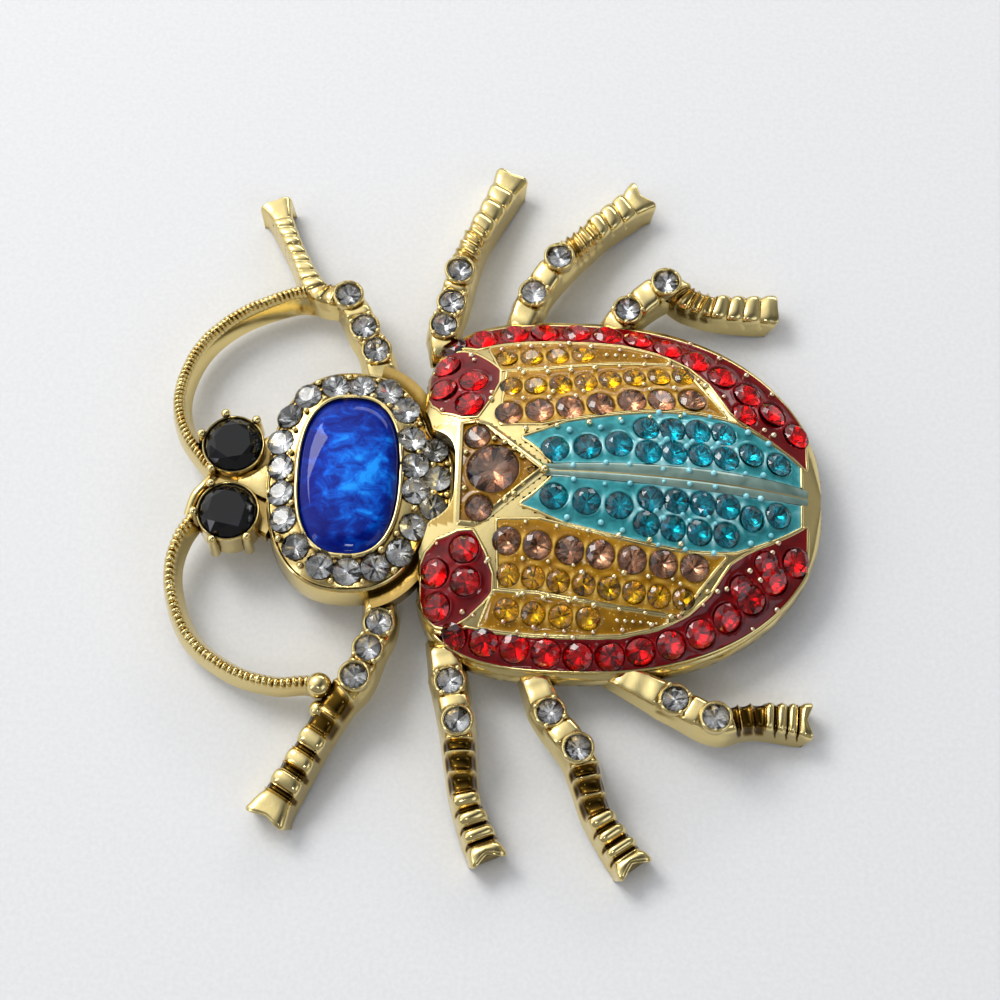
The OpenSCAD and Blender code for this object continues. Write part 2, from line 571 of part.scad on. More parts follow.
casting();
pin_finding();
blue_enamel();
collar_pave();
eye_stone(1);  // eye_stone_right
eye_stone(-1);  // eye_stone_left
scutellum_pave();
scutellum_stone();
for (i = [0 : len(PANELS) - 1], k = [0, 1])
    wing_panel(PANEL_DATA[i], 1 - 2 * k);
for (s = STONES) leg_stone(s);
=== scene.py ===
import math

import bmesh
import bpy
import numpy as np
from bpy.props import FloatProperty, FloatVectorProperty, PointerProperty, StringProperty
from mathutils import Matrix, Vector


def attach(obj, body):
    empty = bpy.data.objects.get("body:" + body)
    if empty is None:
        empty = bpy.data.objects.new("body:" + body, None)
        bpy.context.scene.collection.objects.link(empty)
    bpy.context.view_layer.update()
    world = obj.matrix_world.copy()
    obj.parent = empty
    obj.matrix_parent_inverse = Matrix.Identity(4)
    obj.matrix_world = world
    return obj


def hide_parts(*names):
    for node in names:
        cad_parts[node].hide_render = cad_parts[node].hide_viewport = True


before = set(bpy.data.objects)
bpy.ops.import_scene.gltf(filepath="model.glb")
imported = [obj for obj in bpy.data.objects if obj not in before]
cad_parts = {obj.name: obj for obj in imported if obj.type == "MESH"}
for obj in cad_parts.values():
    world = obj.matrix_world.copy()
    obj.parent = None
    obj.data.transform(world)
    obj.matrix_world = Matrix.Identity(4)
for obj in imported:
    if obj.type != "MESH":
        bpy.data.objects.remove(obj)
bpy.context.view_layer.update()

bl_info = {
    "name": "Insect Brooch",
    "version": (1, 0, 0),
    "blender": (4, 5, 0),
    "location": "3D View > Sidebar > Brooch",
    "description": "Gives a beetle brooch its cast metal, enamel and cut stones round the packed model",
    "category": "Add Mesh",
}

MM = 0.001
PANELS = ("shoulder_pave", "edge_pave", "amber_strip", "amber_band", "teal_band")
SIDES = {"right": 1, "left": -1}

# Legs as in the casting: name, side, root along the body, rows of (out, aft, top, underside, width)
# as shares of the reach, the knee's height and the knee's width, and the rows with a stone
LEGS = [
    ("fore_leg_right", 1, -0.09,
     [(0.00, 0.00, 0.80, 0.50, 1.25), (0.23, -0.06, 0.88, 0.46, 1.05), (0.34, -0.12, 0.92, 0.44, 1.00),
      (0.49, -0.20, 0.96, 0.40, 1.00), (0.53, -0.34, 0.90, 0.36, 0.84), (0.76, -0.46, 0.66, 0.14, 0.64),
      (1.03, -0.58, 0.46, 0.00, 0.84)], (1, 2, 3)),
    ("fore_leg_left", -1, -0.09,
     [(0.00, 0.00, 0.80, 0.50, 1.25), (0.20, 0.02, 0.88, 0.46, 1.05), (0.32, -0.02, 0.92, 0.44, 1.00),
      (0.45, -0.07, 0.98, 0.40, 1.05), (0.55, -0.15, 0.92, 0.34, 1.05), (0.73, -0.25, 0.72, 0.16, 0.95),
      (1.04, -0.42, 0.50, 0.00, 1.20)], (1, 2, 3)),
    ("front_leg_right", 1, 0.05,
     [(0.00, 0.00, 0.80, 0.50, 1.20), (0.17, -0.01, 0.86, 0.46, 1.05), (0.28, 0.02, 0.90, 0.44, 1.00),
      (0.43, 0.05, 0.98, 0.40, 1.00), (0.61, 0.10, 0.86, 0.26, 0.90), (0.78, 0.17, 0.68, 0.10, 0.90),
      (1.01, 0.27, 0.50, 0.00, 1.15)], (1, 2, 3)),
    ("front_leg_left", -1, 0.07,
     [(0.00, 0.00, 0.80, 0.50, 1.25), (0.21, 0.05, 0.88, 0.46, 1.10), (0.39, 0.09, 0.98, 0.40, 1.05),
      (0.55, 0.11, 0.86, 0.28, 0.95), (0.71, 0.14, 0.72, 0.14, 0.90),
      (0.94, 0.24, 0.50, 0.00, 1.15)], (1, 2)),
    ("middle_leg_right", 1, 0.23,
     [(0.00, 0.00, 0.80, 0.50, 1.25), (0.19, 0.07, 0.88, 0.46, 1.05), (0.36, 0.18, 0.98, 0.40, 1.05),
      (0.48, 0.28, 0.84, 0.26, 0.95), (0.60, 0.38, 0.70, 0.12, 0.95),
      (0.77, 0.56, 0.50, 0.00, 1.15)], (1, 2)),
    ("middle_leg_left", -1, 0.29,
     [(0.00, 0.00, 0.80, 0.50, 1.25), (0.21, 0.09, 0.88, 0.46, 1.05), (0.37, 0.21, 0.98, 0.40, 1.05),
      (0.50, 0.26, 0.86, 0.28, 0.95), (0.63, 0.31, 0.72, 0.14, 0.90),
      (0.835, 0.46, 0.50, 0.00, 1.15)], (1, 2)),
    ("hind_leg_right", 1, 0.46,
     [(0.00, 0.00, 0.80, 0.50, 1.25), (0.11, 0.09, 0.88, 0.46, 1.05), (0.24, 0.26, 0.98, 0.40, 1.05),
      (0.19, 0.37, 0.86, 0.30, 0.95), (0.17, 0.51, 0.72, 0.16, 0.95),
      (0.19, 0.77, 0.50, 0.00, 1.15)], (1, 2)),
    ("hind_leg_left", -1, 0.48,
     [(0.00, 0.00, 0.80, 0.50, 1.20), (0.14, 0.28, 0.90, 0.44, 1.05), (0.22, 0.45, 0.98, 0.38, 1.05),
      (0.20, 0.55, 0.86, 0.26, 0.95), (0.18, 0.65, 0.72, 0.12, 0.95),
      (0.18, 0.86, 0.50, 0.00, 1.20)], (1, 2)),
]

# Ribs from the knee's cup to the foot: kind and length as a share of that run. A saddle dips between
# two thin ridges, and a cushion swells between two grooves.
RIBS_DEEP = [("saddle", 0.11), ("saddle", 0.16), ("saddle", 0.17), ("cushion", 0.115), ("saddle", 0.035),
             ("cushion", 0.11), ("saddle", 0.035), ("cushion", 0.10), ("saddle", 0.035), ("end", 0.13)]
RIBS_FINE = [("saddle", 0.07), ("saddle", 0.09), ("saddle", 0.10), ("saddle", 0.11), ("cushion", 0.15),
             ("cushion", 0.16), ("cushion", 0.16), ("end", 0.16)]
RIBS_MANY = [("saddle", 0.08), ("saddle", 0.08)] + [("cushion", 0.085)] * 8 + [("end", 0.16)]
RIBS_RINGS = [("saddle", 0.19), ("saddle", 0.14), ("cushion", 0.115), ("saddle", 0.05), ("cushion", 0.115),
              ("saddle", 0.05), ("cushion", 0.11), ("saddle", 0.05), ("end", 0.18)]
# Ribs, their depth, the flare of the foot and the depth of its notch, in millimetres
LEG_ENDS = {
    "fore_leg_right": (RIBS_MANY, 0.24, 0.42, 0.2),
    "fore_leg_left": (RIBS_RINGS, 0.50, 0.26, 0.6),
    "front_leg_right": (RIBS_FINE, 0.34, 0.10, 0.4),
    "front_leg_left": (RIBS_DEEP, 0.55, 0.10, 1.0),
    "middle_leg_right": (RIBS_FINE, 0.38, 0.18, 0.8),
    "middle_leg_left": (RIBS_DEEP, 0.55, 0.14, 1.0),
    "hind_leg_right": (RIBS_FINE, 0.38, 0.05, 0.1),
    "hind_leg_left": (RIBS_DEEP, 0.42, 0.08, 0.8),
}

# Antennae: share of the way from the head to the foreleg's knee, bow as a share of the whole bow, top
ANTENNA_RIGHT = [(0.00, 0.00, 0.86), (0.11, 0.56, 0.84), (0.28, 0.91, 0.78), (0.52, 1.00, 0.72),
                 (0.74, 0.79, 0.72), (0.94, 0.33, 0.76), (1.00, 0.05, 0.80)]
ANTENNA_LEFT = [(0.00, 0.00, 0.86), (0.08, 0.52, 0.84), (0.22, 0.86, 0.78), (0.45, 1.00, 0.72),
                (0.66, 0.80, 0.72), (0.80, 0.46, 0.74), (0.88, 0.11, 0.78), (1.00, 0.00, 0.82)]

# Lines between the panels: place along the body from the shoulders to the tail, and distance from the
# middle as a share of the half width there
RIM_LINE = [(0.00, 0.975), (1.00, 0.975)]
RED_LINE = [(0.00, 0.860), (0.15, 0.820), (0.50, 0.815), (0.60, 0.790), (0.67, 0.740), (0.72, 0.660),
            (0.77, 0.500), (0.81, 0.450), (0.88, 0.410), (0.95, 0.370), (1.00, 0.330)]
AMBER_LINE = [(0.10, 0.620), (0.30, 0.620), (0.42, 0.655), (0.54, 0.695), (0.68, 0.765)]
TEAL_LINE = [(0.10, 0.300), (0.19, 0.262), (0.30, 0.255), (0.36, 0.285), (0.47, 0.335), (0.58, 0.385),
             (0.68, 0.425), (0.78, 0.450), (0.88, 0.410), (0.95, 0.370), (1.00, 0.330)]
RIDGE_LINE = [(0.24, 0.015), (0.34, 0.025), (0.50, 0.040), (0.70, 0.055), (0.85, 0.065), (1.00, 0.080)]
TEAL_TIP_LINE = [(0.24, 0.185), (0.30, 0.230), (0.36, 0.285), (0.47, 0.335), (0.58, 0.385),
                 (0.68, 0.425), (0.78, 0.450), (0.88, 0.410), (0.95, 0.370), (1.00, 0.330)]
SHOULDER_OUT = [(0.00, 0.950), (0.035, 0.950), (0.06, 0.925), (0.09, 0.880), (0.13, 0.800), (0.165, 0.715),
                (0.20, 0.620)]
SHOULDER_IN = [(0.00, 0.700), (0.015, 0.700), (0.03, 0.540), (0.055, 0.420), (0.105, 0.340), (0.14, 0.325),
               (0.17, 0.430), (0.20, 0.590)]
# Inner and outer line of each panel, where it starts and ends along them, and its points along and across
PANEL_DATA = {
    "shoulder_pave": (SHOULDER_IN, SHOULDER_OUT, (0.012, 0.012), (0.196, 0.196), 60, 56),
    "edge_pave": (RED_LINE, RIM_LINE, (0.125, 0.050), (0.965, 0.965), 230, 26),
    "amber_strip": (AMBER_LINE, RED_LINE, (0.190, 0.160), (0.620, 0.620), 130, 24),
    "amber_band": (TEAL_LINE, AMBER_LINE, (0.195, 0.205), (0.760, 0.650), 150, 48),
    "teal_band": (RIDGE_LINE, TEAL_TIP_LINE, (0.325, 0.250), (0.950, 0.950), 170, 48),
}
SCUTELLUM = [(0.00, 0.475), (0.20, 0.500), (0.32, 0.460), (1.00, 0.000)]

# Rows of stones on the wing cases: side, panel, glass, diameter, count, and points (along, across) in
# millimetres that the row runs through
STONE_ROWS = [
    ("right", "edge_pave", "red", 2.5, 13, [(-3.9, 13.4), (2.8, 14.6), (10.8, 14.5), (16.4, 12.6),
                                            (21.6, 9.2), (25.9, 5.9)]),
    ("right", "edge_pave", "red", 2.2, 1, [(21.3, 7.0)]),
    ("right", "shoulder_pave", "red", 2.45, 2, [(-4.3, 11.0), (-1.9, 9.0)]),
    ("right", "shoulder_pave", "red", 2.45, 2, [(-4.5, 8.3), (-2.2, 6.5)]),
    ("right", "amber_strip", "yellow", 1.95, 4, [(0.8, 11.4), (3.1, 11.5), (7.4, 11.9)]),
    ("right", "amber_band", "yellow", 1.95, 8, [(1.3, 8.2), (5.8, 8.4), (10.0, 9.2), (16.0, 10.2)]),
    ("right", "amber_band", "peach", 2.42, 7, [(1.2, 5.4), (6.7, 6.0), (11.5, 6.9), (16.7, 7.7)]),
    ("right", "teal_band", "teal", 2.3, 3, [(5.2, 1.9), (7.9, 2.2), (10.5, 2.6)]),
    ("right", "teal_band", "teal", 2.2, 4, [(12.8, 4.3), (19.4, 4.6)]),
    ("right", "teal_band", "teal", 2.2, 4, [(13.0, 2.05), (17.4, 2.3), (19.6, 2.25)]),
    ("right", "teal_band", "teal", 2.2, 2, [(21.8, 3.0), (24.2, 2.6)]),
    ("left", "edge_pave", "red", 2.48, 13, [(-2.8, -13.3), (2.3, -14.3), (8.3, -14.8), (13.9, -13.9),
                                           (19.0, -11.7), (25.7, -5.8)]),
    ("left", "edge_pave", "red", 2.1, 2, [(21.0, -8.6), (23.1, -6.4)]),
    ("left", "shoulder_pave", "red", 2.45, 2, [(-4.3, -11.0), (-1.9, -9.2)]),
    ("left", "shoulder_pave", "red", 2.45, 2, [(-4.5, -8.4), (-2.1, -6.6)]),
    ("left", "amber_strip", "yellow", 2.0, 4, [(1.6, -11.5), (4.2, -11.8), (8.3, -12.0)]),
    ("left", "amber_band", "yellow", 1.95, 8, [(1.6, -8.8), (6.4, -9.3), (12.4, -9.9), (16.2, -10.0)]),
    ("left", "amber_band", "peach", 2.42, 7, [(1.4, -6.1), (6.8, -6.8), (12.1, -7.3), (17.0, -7.5)]),
    ("left", "teal_band", "teal", 2.3, 3, [(5.2, -2.3), (8.0, -2.7), (10.6, -2.9)]),
    ("left", "teal_band", "teal", 2.2, 4, [(13.2, -2.15), (19.7, -2.1)]),
    ("left", "teal_band", "teal", 2.2, 4, [(12.9, -4.3), (17.5, -4.6), (19.6, -4.5)]),
    ("left", "teal_band", "teal", 2.2, 2, [(21.8, -2.8), (24.1, -2.1)]),
]
# Rows of small beads on the amber strips: side, count, first and last place, and their sizes
BEAD_ROWS = [("right", 6, (9.4, 11.95), (13.3, 12.15), 0.42, 0.24),
             ("left", 7, (10.7, -12.0), (14.6, -12.05), 0.42, 0.24)]
# Stones on the collar: angle round its middle in degrees and distance from it in millimetres
COLLAR_STONES = [(86, 8.5), (101, 8.55), (118, 8.45), (134, 7.85), (152, 6.85), (172, 5.95), (-165, 5.95),
                 (-144, 6.65), (-123, 7.6), (-104, 8.3), (-88, 8.45), (-72, 8.4), (-55, 8.0), (-37, 7.0),
                 (70, 8.6), (55, 7.8), (36, 6.35), (22.5, 7.65), (12.5, 5.65), (2.5, 7.45), (-10.5, 5.75),
                 (-17.5, 7.5)]

# Cut glass: tint of its body, tint of the foil behind it, and its slot
GLASS = {
    "red": ("#F83C48", "#FF3A46", "red_enamel"),
    "yellow": ("#FFE062", "#FFE05A", "amber_enamel"),
    "peach": ("#EBC8AE", "#F0D2BC", "peach_stone"),
    "teal": ("#4CCEDA", "#50DCE8", "teal_enamel"),
    "clear": ("#FBFCFC", "#F6F7F8", "clear_stone"),
    "black": ("#08090B", "#06070A", "black_stone"),
    "smoky": ("#D8BCA8", "#E0C6B4", "peach_stone"),
}


class BroochSizes(bpy.types.PropertyGroup):
    """The brooch's main sizes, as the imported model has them."""

    body_l: FloatProperty(name="Body length", description="Shoulders to tail",
                          default=0.0343, unit="LENGTH")
    body_w: FloatProperty(name="Body width", description="Across both wing cases",
                          default=0.0328, unit="LENGTH")
    rim_z: FloatProperty(name="Rim height", description="Wing cases' rim over the surface",
                         default=0.0036, unit="LENGTH")
    dome_h: FloatProperty(name="Dome rise", description="Rise of the dome over its rim",
                          default=0.0058, unit="LENGTH")
    base_z: FloatProperty(name="Base height", description="Casting's lower edge over the surface",
                          default=0.0024, unit="LENGTH")
    wall: FloatProperty(name="Wall", description="Thickness of the hollow casting",
                        default=0.0018, unit="LENGTH")
    divider: FloatProperty(name="Divider", description="Metal line between two panels",
                           default=0.00045, unit="LENGTH")
    collar_w: FloatProperty(name="Collar width", description="Across the collar",
                            default=0.0198, unit="LENGTH")
    collar_front: FloatProperty(name="Collar front", description="Collar in front of its middle",
                                default=0.00685, unit="LENGTH")
    collar_back: FloatProperty(name="Collar back", description="Collar behind its middle, at the sides",
                               default=0.0069, unit="LENGTH")
    lobe_l: FloatProperty(name="Lobe length", description="Collar's lobe behind its middle",
                          default=0.0086, unit="LENGTH")
    lobe_w: FloatProperty(name="Lobe width", description="Across the lobe", default=0.0088, unit="LENGTH")
    collar_top: FloatProperty(name="Collar height", description="Collar where it meets the oval's rim",
                              default=0.0064, unit="LENGTH")
    oval_l: FloatProperty(name="Oval length", description="Blue oval along the body",
                          default=0.0084, unit="LENGTH")
    oval_w: FloatProperty(name="Oval width", description="Blue oval across the body",
                          default=0.0141, unit="LENGTH")
    eye_d: FloatProperty(name="Eye stone", description="Diameter of an eye stone",
                         default=0.0044, unit="LENGTH")
    reach: FloatProperty(name="Leg reach", description="Length that the legs' rows are shares of",
                         default=0.0195, unit="LENGTH")
    knee_z: FloatProperty(name="Knee height", description="Top of a knee over the surface",
                          default=0.005, unit="LENGTH")
    leg_w: FloatProperty(name="Leg width", description="Across a leg at its cups",
                         default=0.0027, unit="LENGTH")
    antenna_w: FloatProperty(name="Antenna width", description="Across the rope of an antenna",
                             default=0.0011, unit="LENGTH")
    antenna_h: FloatProperty(name="Antenna height", description="Foot to top of an antenna",
                             default=0.002, unit="LENGTH")
    collar_stone_d: FloatProperty(name="Collar stone", description="Diameter of a collar stone",
                                  default=0.00236, unit="LENGTH")
    leg_stone_d: FloatProperty(name="Leg stone", description="Diameter of a leg stone",
                               default=0.0021, unit="LENGTH")
    grain: FloatProperty(name="Grain", description="Diameter of a metal grain between stones",
                         default=0.00046, unit="LENGTH")
    thread: FloatProperty(name="Thread pitch", description="Pitch of the twist on the antennae",
                          default=0.00048, unit="LENGTH")


class BroochFinishes(bpy.types.PropertyGroup):
    """Colours as sRGB hex values, and the polish of the metal."""

    gold: StringProperty(name="Gold", description="Pale gold plate", default="#E0CC8E")
    # Painted shade: the plate's colour in crevices and grooves, and in the pits together with their brown
    # lacquer
    gold_in_shade_and_lacquer: StringProperty(name="Gold in hollows", description="Plate where polish doesn't reach",
                              default="#A3813C")
    red: StringProperty(name="Red enamel", description="Deep red fill", default="#6C0105")
    amber: StringProperty(name="Amber enamel", description="Honey fill", default="#A07010")
    teal: StringProperty(name="Teal enamel", description="Pearly fill", default="#3A9AA0")
    valley: StringProperty(name="Valley enamel", description="Grey-green middle strip", default="#8FA89E")
    blue_deep: StringProperty(name="Oval, deep", description="Dark ends of the oval", default="#00106E")
    blue_light: StringProperty(name="Oval, light", description="Azure streaks of the oval", default="#1490F6")
    polish: FloatProperty(name="Gold roughness", description="Roughness of the plate", default=0.17, min=0.02,
                          max=1.0)


def hex_linear(text, alpha=True):
    """An sRGB hex value as linear colour."""
    parts = [int(text[i:i + 2], 16) / 255 for i in (1, 3, 5)]
    linear = [c / 12.92 if c <= 0.04045 else ((c + 0.055) / 1.055) ** 2.4 for c in parts]
    return (*linear, 1.0) if alpha else tuple(linear)


def table_at(table, x):
    """A table of (place, value) rows read at x, straight between rows."""
    rows = np.array(table, float)
    return np.interp(x, rows[:, 0], rows[:, 1])


def smooth_run(rows, steps):
    """A smooth curve through rows of numbers, with steps between two rows."""
    r = np.array(rows, float)
    if len(r) < 2:
        return r
    ext = np.vstack([r[0], r, r[-1]])
    out = []
    t = np.arange(steps)[:, None] / steps
    for i in range(len(r) - 1):
        a, b, c, d = ext[i:i + 4]
        out.append(0.5 * (2 * b + (c - a) * t + (2 * a - 5 * b + 4 * c - d) * t * t
                          + (3 * b - a - 3 * c + d) * t ** 3))
    return np.vstack([*out, r[-1:]])


def run_lengths(run):
    """The length along a run at each of its points, seen from above."""
    step = np.linalg.norm(np.diff(run[:, :2], axis=0), axis=1)
    return np.concatenate([[0], np.cumsum(step)])


def run_ways(run):
    """The way along a run and the way across it at each of its points, seen from above."""
    way = np.gradient(run[:, :2], axis=0)
    way /= np.linalg.norm(way, axis=1)[:, None]
    return way, np.column_stack([-way[:, 1], way[:, 0]])


def even_run(points, count):
    """Points spaced evenly along a run, by its first two columns."""
    p = smooth_run(points, 24)
    s = run_lengths(p)
    at = np.linspace(0, s[-1], count)
    return np.column_stack([np.interp(at, s, p[:, k]) for k in range(p.shape[1])])


class Shape:
    """The brooch's surfaces in millimetres, worked out from its sizes."""

    def __init__(self, sizes):
        # Blender keeps a size in single precision, and the ribs on a leg's foot turn on its last digits, so
        # all sizes but those of the body's shell and the thread are rounded
        shell = ("body_l", "body_w", "rim_z", "dome_h", "base_z", "wall", "divider", "thread")
        for key in sizes.__annotations__:
            size = getattr(sizes, key) / MM
            setattr(self, key, size if key in shell else round(size, 4))
        # Zero lies on the body a little behind its shoulders, and it is widest before its middle
        self.front_x = -0.183 * self.body_l
        self.wide_x = self.front_x + 0.391 * self.body_l
        self.tail_x = self.front_x + self.body_l
        self.front_l, self.rear_l = self.wide_x - self.front_x, self.tail_x - self.wide_x
        # The lobe reaches over the shoulders, and the collar slopes down from the oval's rim
        self.collar_x = self.front_x + 2.8 - self.lobe_l
        self.collar_fall, self.oval_rim, self.rim_top = 1.0, 0.45, self.collar_top + 0.5
        self.eye_x, self.eye_y, self.cup_z, self.cup_d = self.collar_x - 10.1, 3.05, 5.4, self.eye_d + 1.0
        self.scut_x, self.scut_l, self.scut_w = self.front_x + 3.4, 7.7, 9.8
        # How far a leg's root lies inside the rim
        self.leg_root = 1.0
        # The middle of the whole brooch, from the eyes' front to the tail, is the frame's origin
        self.middle_x = (self.tail_x + self.eye_x - 0.55 * self.cup_d - 0.46 * 6.9) / 2
        self.pin_x = self.front_x + 0.24 * self.body_l

    def half_w(self, x):
        """Half the body's width at a place along it."""
        x = np.asarray(x, float)
        u = np.minimum(0.9999, np.where(x < self.wide_x, (self.wide_x - x) / self.front_l,
                                        (x - self.wide_x) / self.rear_l))
        u = np.abs(u)
        return self.body_w / 2 * np.where(x < self.wide_x, (1 - u ** 3) ** 0.2, (1 - u ** 2.2) ** (1 / 2.2))

    def crest_z(self, x):
        """Height of the dome along its middle."""
        x = np.asarray(x, float)
        u = np.where(x < self.wide_x, 0.61 * (self.wide_x - x) / self.front_l,
                     0.972 * (x - self.wide_x) / self.rear_l)
        u = np.clip(u, 0, 0.9999)
        return self.rim_z + self.dome_h * (1 - u * u) ** 0.9

    def dome_z(self, x, s):
        """Height of the dome at a place along it and a share of the half width."""
        return self.rim_z + (self.crest_z(x) - self.rim_z) * (1 - np.minimum(1, np.asarray(s) ** 2)) ** 0.9

    def dome_at(self, x, y):
        """Height of the dome at a point."""
        return self.dome_z(x, np.asarray(y) / self.half_w(x))

    def collar_at(self, x, y):
        """Height of the collar's slope at a point."""
        dx, dy = np.asarray(x, float) - self.collar_x, np.asarray(y, float)
        a, r = np.arctan2(dy, dx), np.hypot(dx, dy)
        inner = self.rim_r(a) + self.oval_rim
        share = np.clip((r - inner) / (self.collar_r(a) - inner), 0, 1)
        return self.collar_top - self.collar_fall * share ** 1.7

    @staticmethod
    def oval_r(a, half_x, half_y, power):
        """Radius of a rounded oval at an angle, from its half sizes and its squareness."""
        return ((np.abs(np.cos(a)) / half_x) ** power + (np.abs(np.sin(a)) / half_y) ** power) ** (-1 / power)

    def rim_r(self, a):
        """Radius of the blue oval at an angle."""
        return self.oval_r(a, self.oval_l / 2, self.oval_w / 2, 2.6)

    def collar_r(self, a):
        """Radius of the collar and its lobe at an angle."""
        half_x = np.where(np.cos(a) < 0, self.collar_front, self.collar_back)
        side = self.oval_r(a, half_x, self.collar_w / 2, 2.4)
        lobe = self.oval_r(a, self.lobe_l, self.lobe_w / 2, 4)
        return np.where(np.cos(a) > 0, np.maximum(side, lobe), side)

    def seat(self, surface, x, y, lift=0.0):
        """A point on a surface and the direction it faces there."""
        e = 0.05
        z = float(surface(x, y))
        dx = float(surface(x + e, y) - surface(x - e, y)) / (2 * e)
        dy = float(surface(x, y + e) - surface(x, y - e)) / (2 * e)
        up = Vector((-dx, -dy, 1)).normalized()
        return Vector((x, y, z)) + up * lift, up

    def leg_rows(self, leg):
        """A leg's rows in millimetres: place, top, underside and width."""
        _, side, root, rows, _ = leg
        x0 = self.front_x + root * self.body_l
        y0 = self.collar_w / 2 - 0.6 - self.leg_root if root < 0 else float(self.half_w(x0)) - self.leg_root
        return [(x0 + r[1] * self.reach, side * (y0 + r[0] * self.reach), r[2] * self.knee_z,
                 r[3] * self.knee_z, r[4] * self.leg_w) for r in rows]

    def panel_grid(self, panel, extra=0.0, n=None, m=None):
        """A panel's points (x, s) along and across the right wing case, grown sideways by extra."""
        low_line, high_line, start, end, n0, m0 = PANEL_DATA[panel]
        n, m = n or n0, m or m0
        inset = self.divider / 2 - extra
        v = np.linspace(0, 1, m)[None, :]
        t = np.linspace(0, 1, n)[:, None]
        margin = inset / self.body_l
        first = start[0] + (start[1] - start[0]) * v + margin
        last = end[0] + (end[1] - end[0]) * v - margin
        share = first + (last - first) * t
        x = self.front_x + self.body_l * share
        half = self.half_w(x)
        low = table_at(low_line, share) + inset / half
        high = table_at(high_line, share) - inset / half
        s = low + (high - low) * v
        return x, s


class Piece:
    """Points and faces of one piece, in millimetres in the beetle's own frame."""

    def __init__(self):
        self.points, self.faces, self.marks, self.smooth = [], [], [], []
        self.tint, self.shade, self.count = [], [], 0

    def add(self, points, faces, marks=None, smooth=True, tint=None, shade=None):
        """Points and their faces, with each face's material and glint and each point's tint."""
        points = np.asarray(points, float).reshape(-1, 3)
        self.points.append(points)
        self.shade += [0.5] * len(faces) if shade is None else list(shade)
        self.faces += [tuple(i + self.count for i in f) for f in faces]
        self.marks += marks or [0] * len(faces)
        self.smooth += [smooth] * len(faces)
        self.tint.append(np.zeros(len(points)) if tint is None else np.asarray(tint, float).ravel())
        self.count += len(points)

    def make(self, shape, name, materials, nodes, slot, sharp=None, attribute=None):
        """The finished object, standing for its CAD nodes and riding with the brooch."""
        points = np.vstack(self.points) * MM
        points[:, 0] -= shape.middle_x * MM
        mesh = bpy.data.meshes.new(name)
        mesh.from_pydata(points.tolist(), [], self.faces)
        for m in materials:
            mesh.materials.append(m)
        mesh.polygons.foreach_set("material_index", self.marks)
        mesh.polygons.foreach_set("use_smooth", self.smooth)
        if attribute:
            layer = mesh.attributes.new(attribute, "FLOAT", "POINT")
            layer.data.foreach_set("value", np.concatenate(self.tint).astype(np.float32))
        if not all(self.smooth):
            layer = mesh.attributes.new("glint", "FLOAT", "FACE")
            layer.data.foreach_set("value", self.shade)
        mesh.update()
        mesh.validate()
        if sharp:
            mesh.set_sharp_from_angle(angle=math.radians(sharp))
        piece = bpy.data.objects.new(name, mesh)
        bpy.context.scene.collection.objects.link(piece)
        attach(piece, "root")
        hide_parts(*nodes)
        return piece


class Cast(Piece):
    """A piece that is one part of the gold-plated casting."""

    def make(self, shape, name, sharp=None, attribute=None):
        return super().make(shape, name, [gold()], ["casting"], "gold_plate", sharp, attribute)


def sheet_faces(rows, cols, ring=False, flip=False, closed=False):
    """Four-sided faces over rows and columns of points; a ring's columns close, and closed rows too."""
    faces = []
    for i in range(rows if closed else rows - 1):
        for j in range(cols if ring else cols - 1):
            below, right = (i + 1) % rows * cols, (j + 1) % cols
            f = (i * cols + j, i * cols + right, below + right, below + j)
            faces.append(f[::-1] if flip else f)
    return faces


def border(sheet):
    """The points round the edge of a sheet, in order."""
    return np.concatenate([sheet[0, :], sheet[1:, -1], sheet[-1, -2::-1], sheet[-2:0:-1, 0]])


def even_angles(count):
    """Angles of so many even places round a circle."""
    return np.arange(count) * 2 * math.pi / count


def ring_of(a, r, z, middle=0.0):
    """Points at angles a, radius r and height z, round a middle along the body."""
    return np.column_stack([middle + r * np.cos(a), r * np.sin(a), np.broadcast_to(z, a.shape)])


def tube(piece, rings, flip=False, closed=False):
    """Faces over closed rings of points, one after the other, capped or closed on itself."""
    rings = np.asarray(rings, float)
    n, m = rings.shape[:2]
    faces = sheet_faces(n, m, ring=True, flip=flip, closed=closed)
    if not closed:
        first, last = tuple(range(m)), tuple((n - 1) * m + j for j in range(m))
        faces += [first if flip else first[::-1], last[::-1] if flip else last]
    piece.add(rings, faces)


def turned(piece, profile, place, up=Vector((0, 0, 1)), sides=40):
    """A round form turned from a profile of (radius, height), set at a place and facing up."""
    a = even_angles(sides)
    turn = np.array(up.to_track_quat("Z", "Y").to_matrix())
    tube(piece, [ring_of(a, r, h) @ turn.T + np.array(place) for r, h in profile])


def bead(piece, place, up, d, rows=5, sides=10):
    """A round metal grain, sunk by a quarter of its width where it stands."""
    a = even_angles(sides)
    turn = np.array(Vector(up).to_track_quat("Z", "Y").to_matrix())
    points = [np.array([[0, 0, d / 2]])]
    for i in range(1, rows + 1):
        t = math.radians(120) * i / rows
        points.append(ring_of(a, d / 2 * math.sin(t), d / 2 * math.cos(t)))
    points = (np.vstack(points) + [0, 0, d / 2 - 0.25 * d]) @ turn.T + np.array(place)
    faces = [(0, 1 + j, 1 + (j + 1) % sides) for j in range(sides)]
    for i in range(rows - 1):
        for j in range(sides):
            b, k = 1 + i * sides, (j + 1) % sides
            faces.append((b + j, b + sides + j, b + sides + k, b + k))
    piece.add(points, faces)


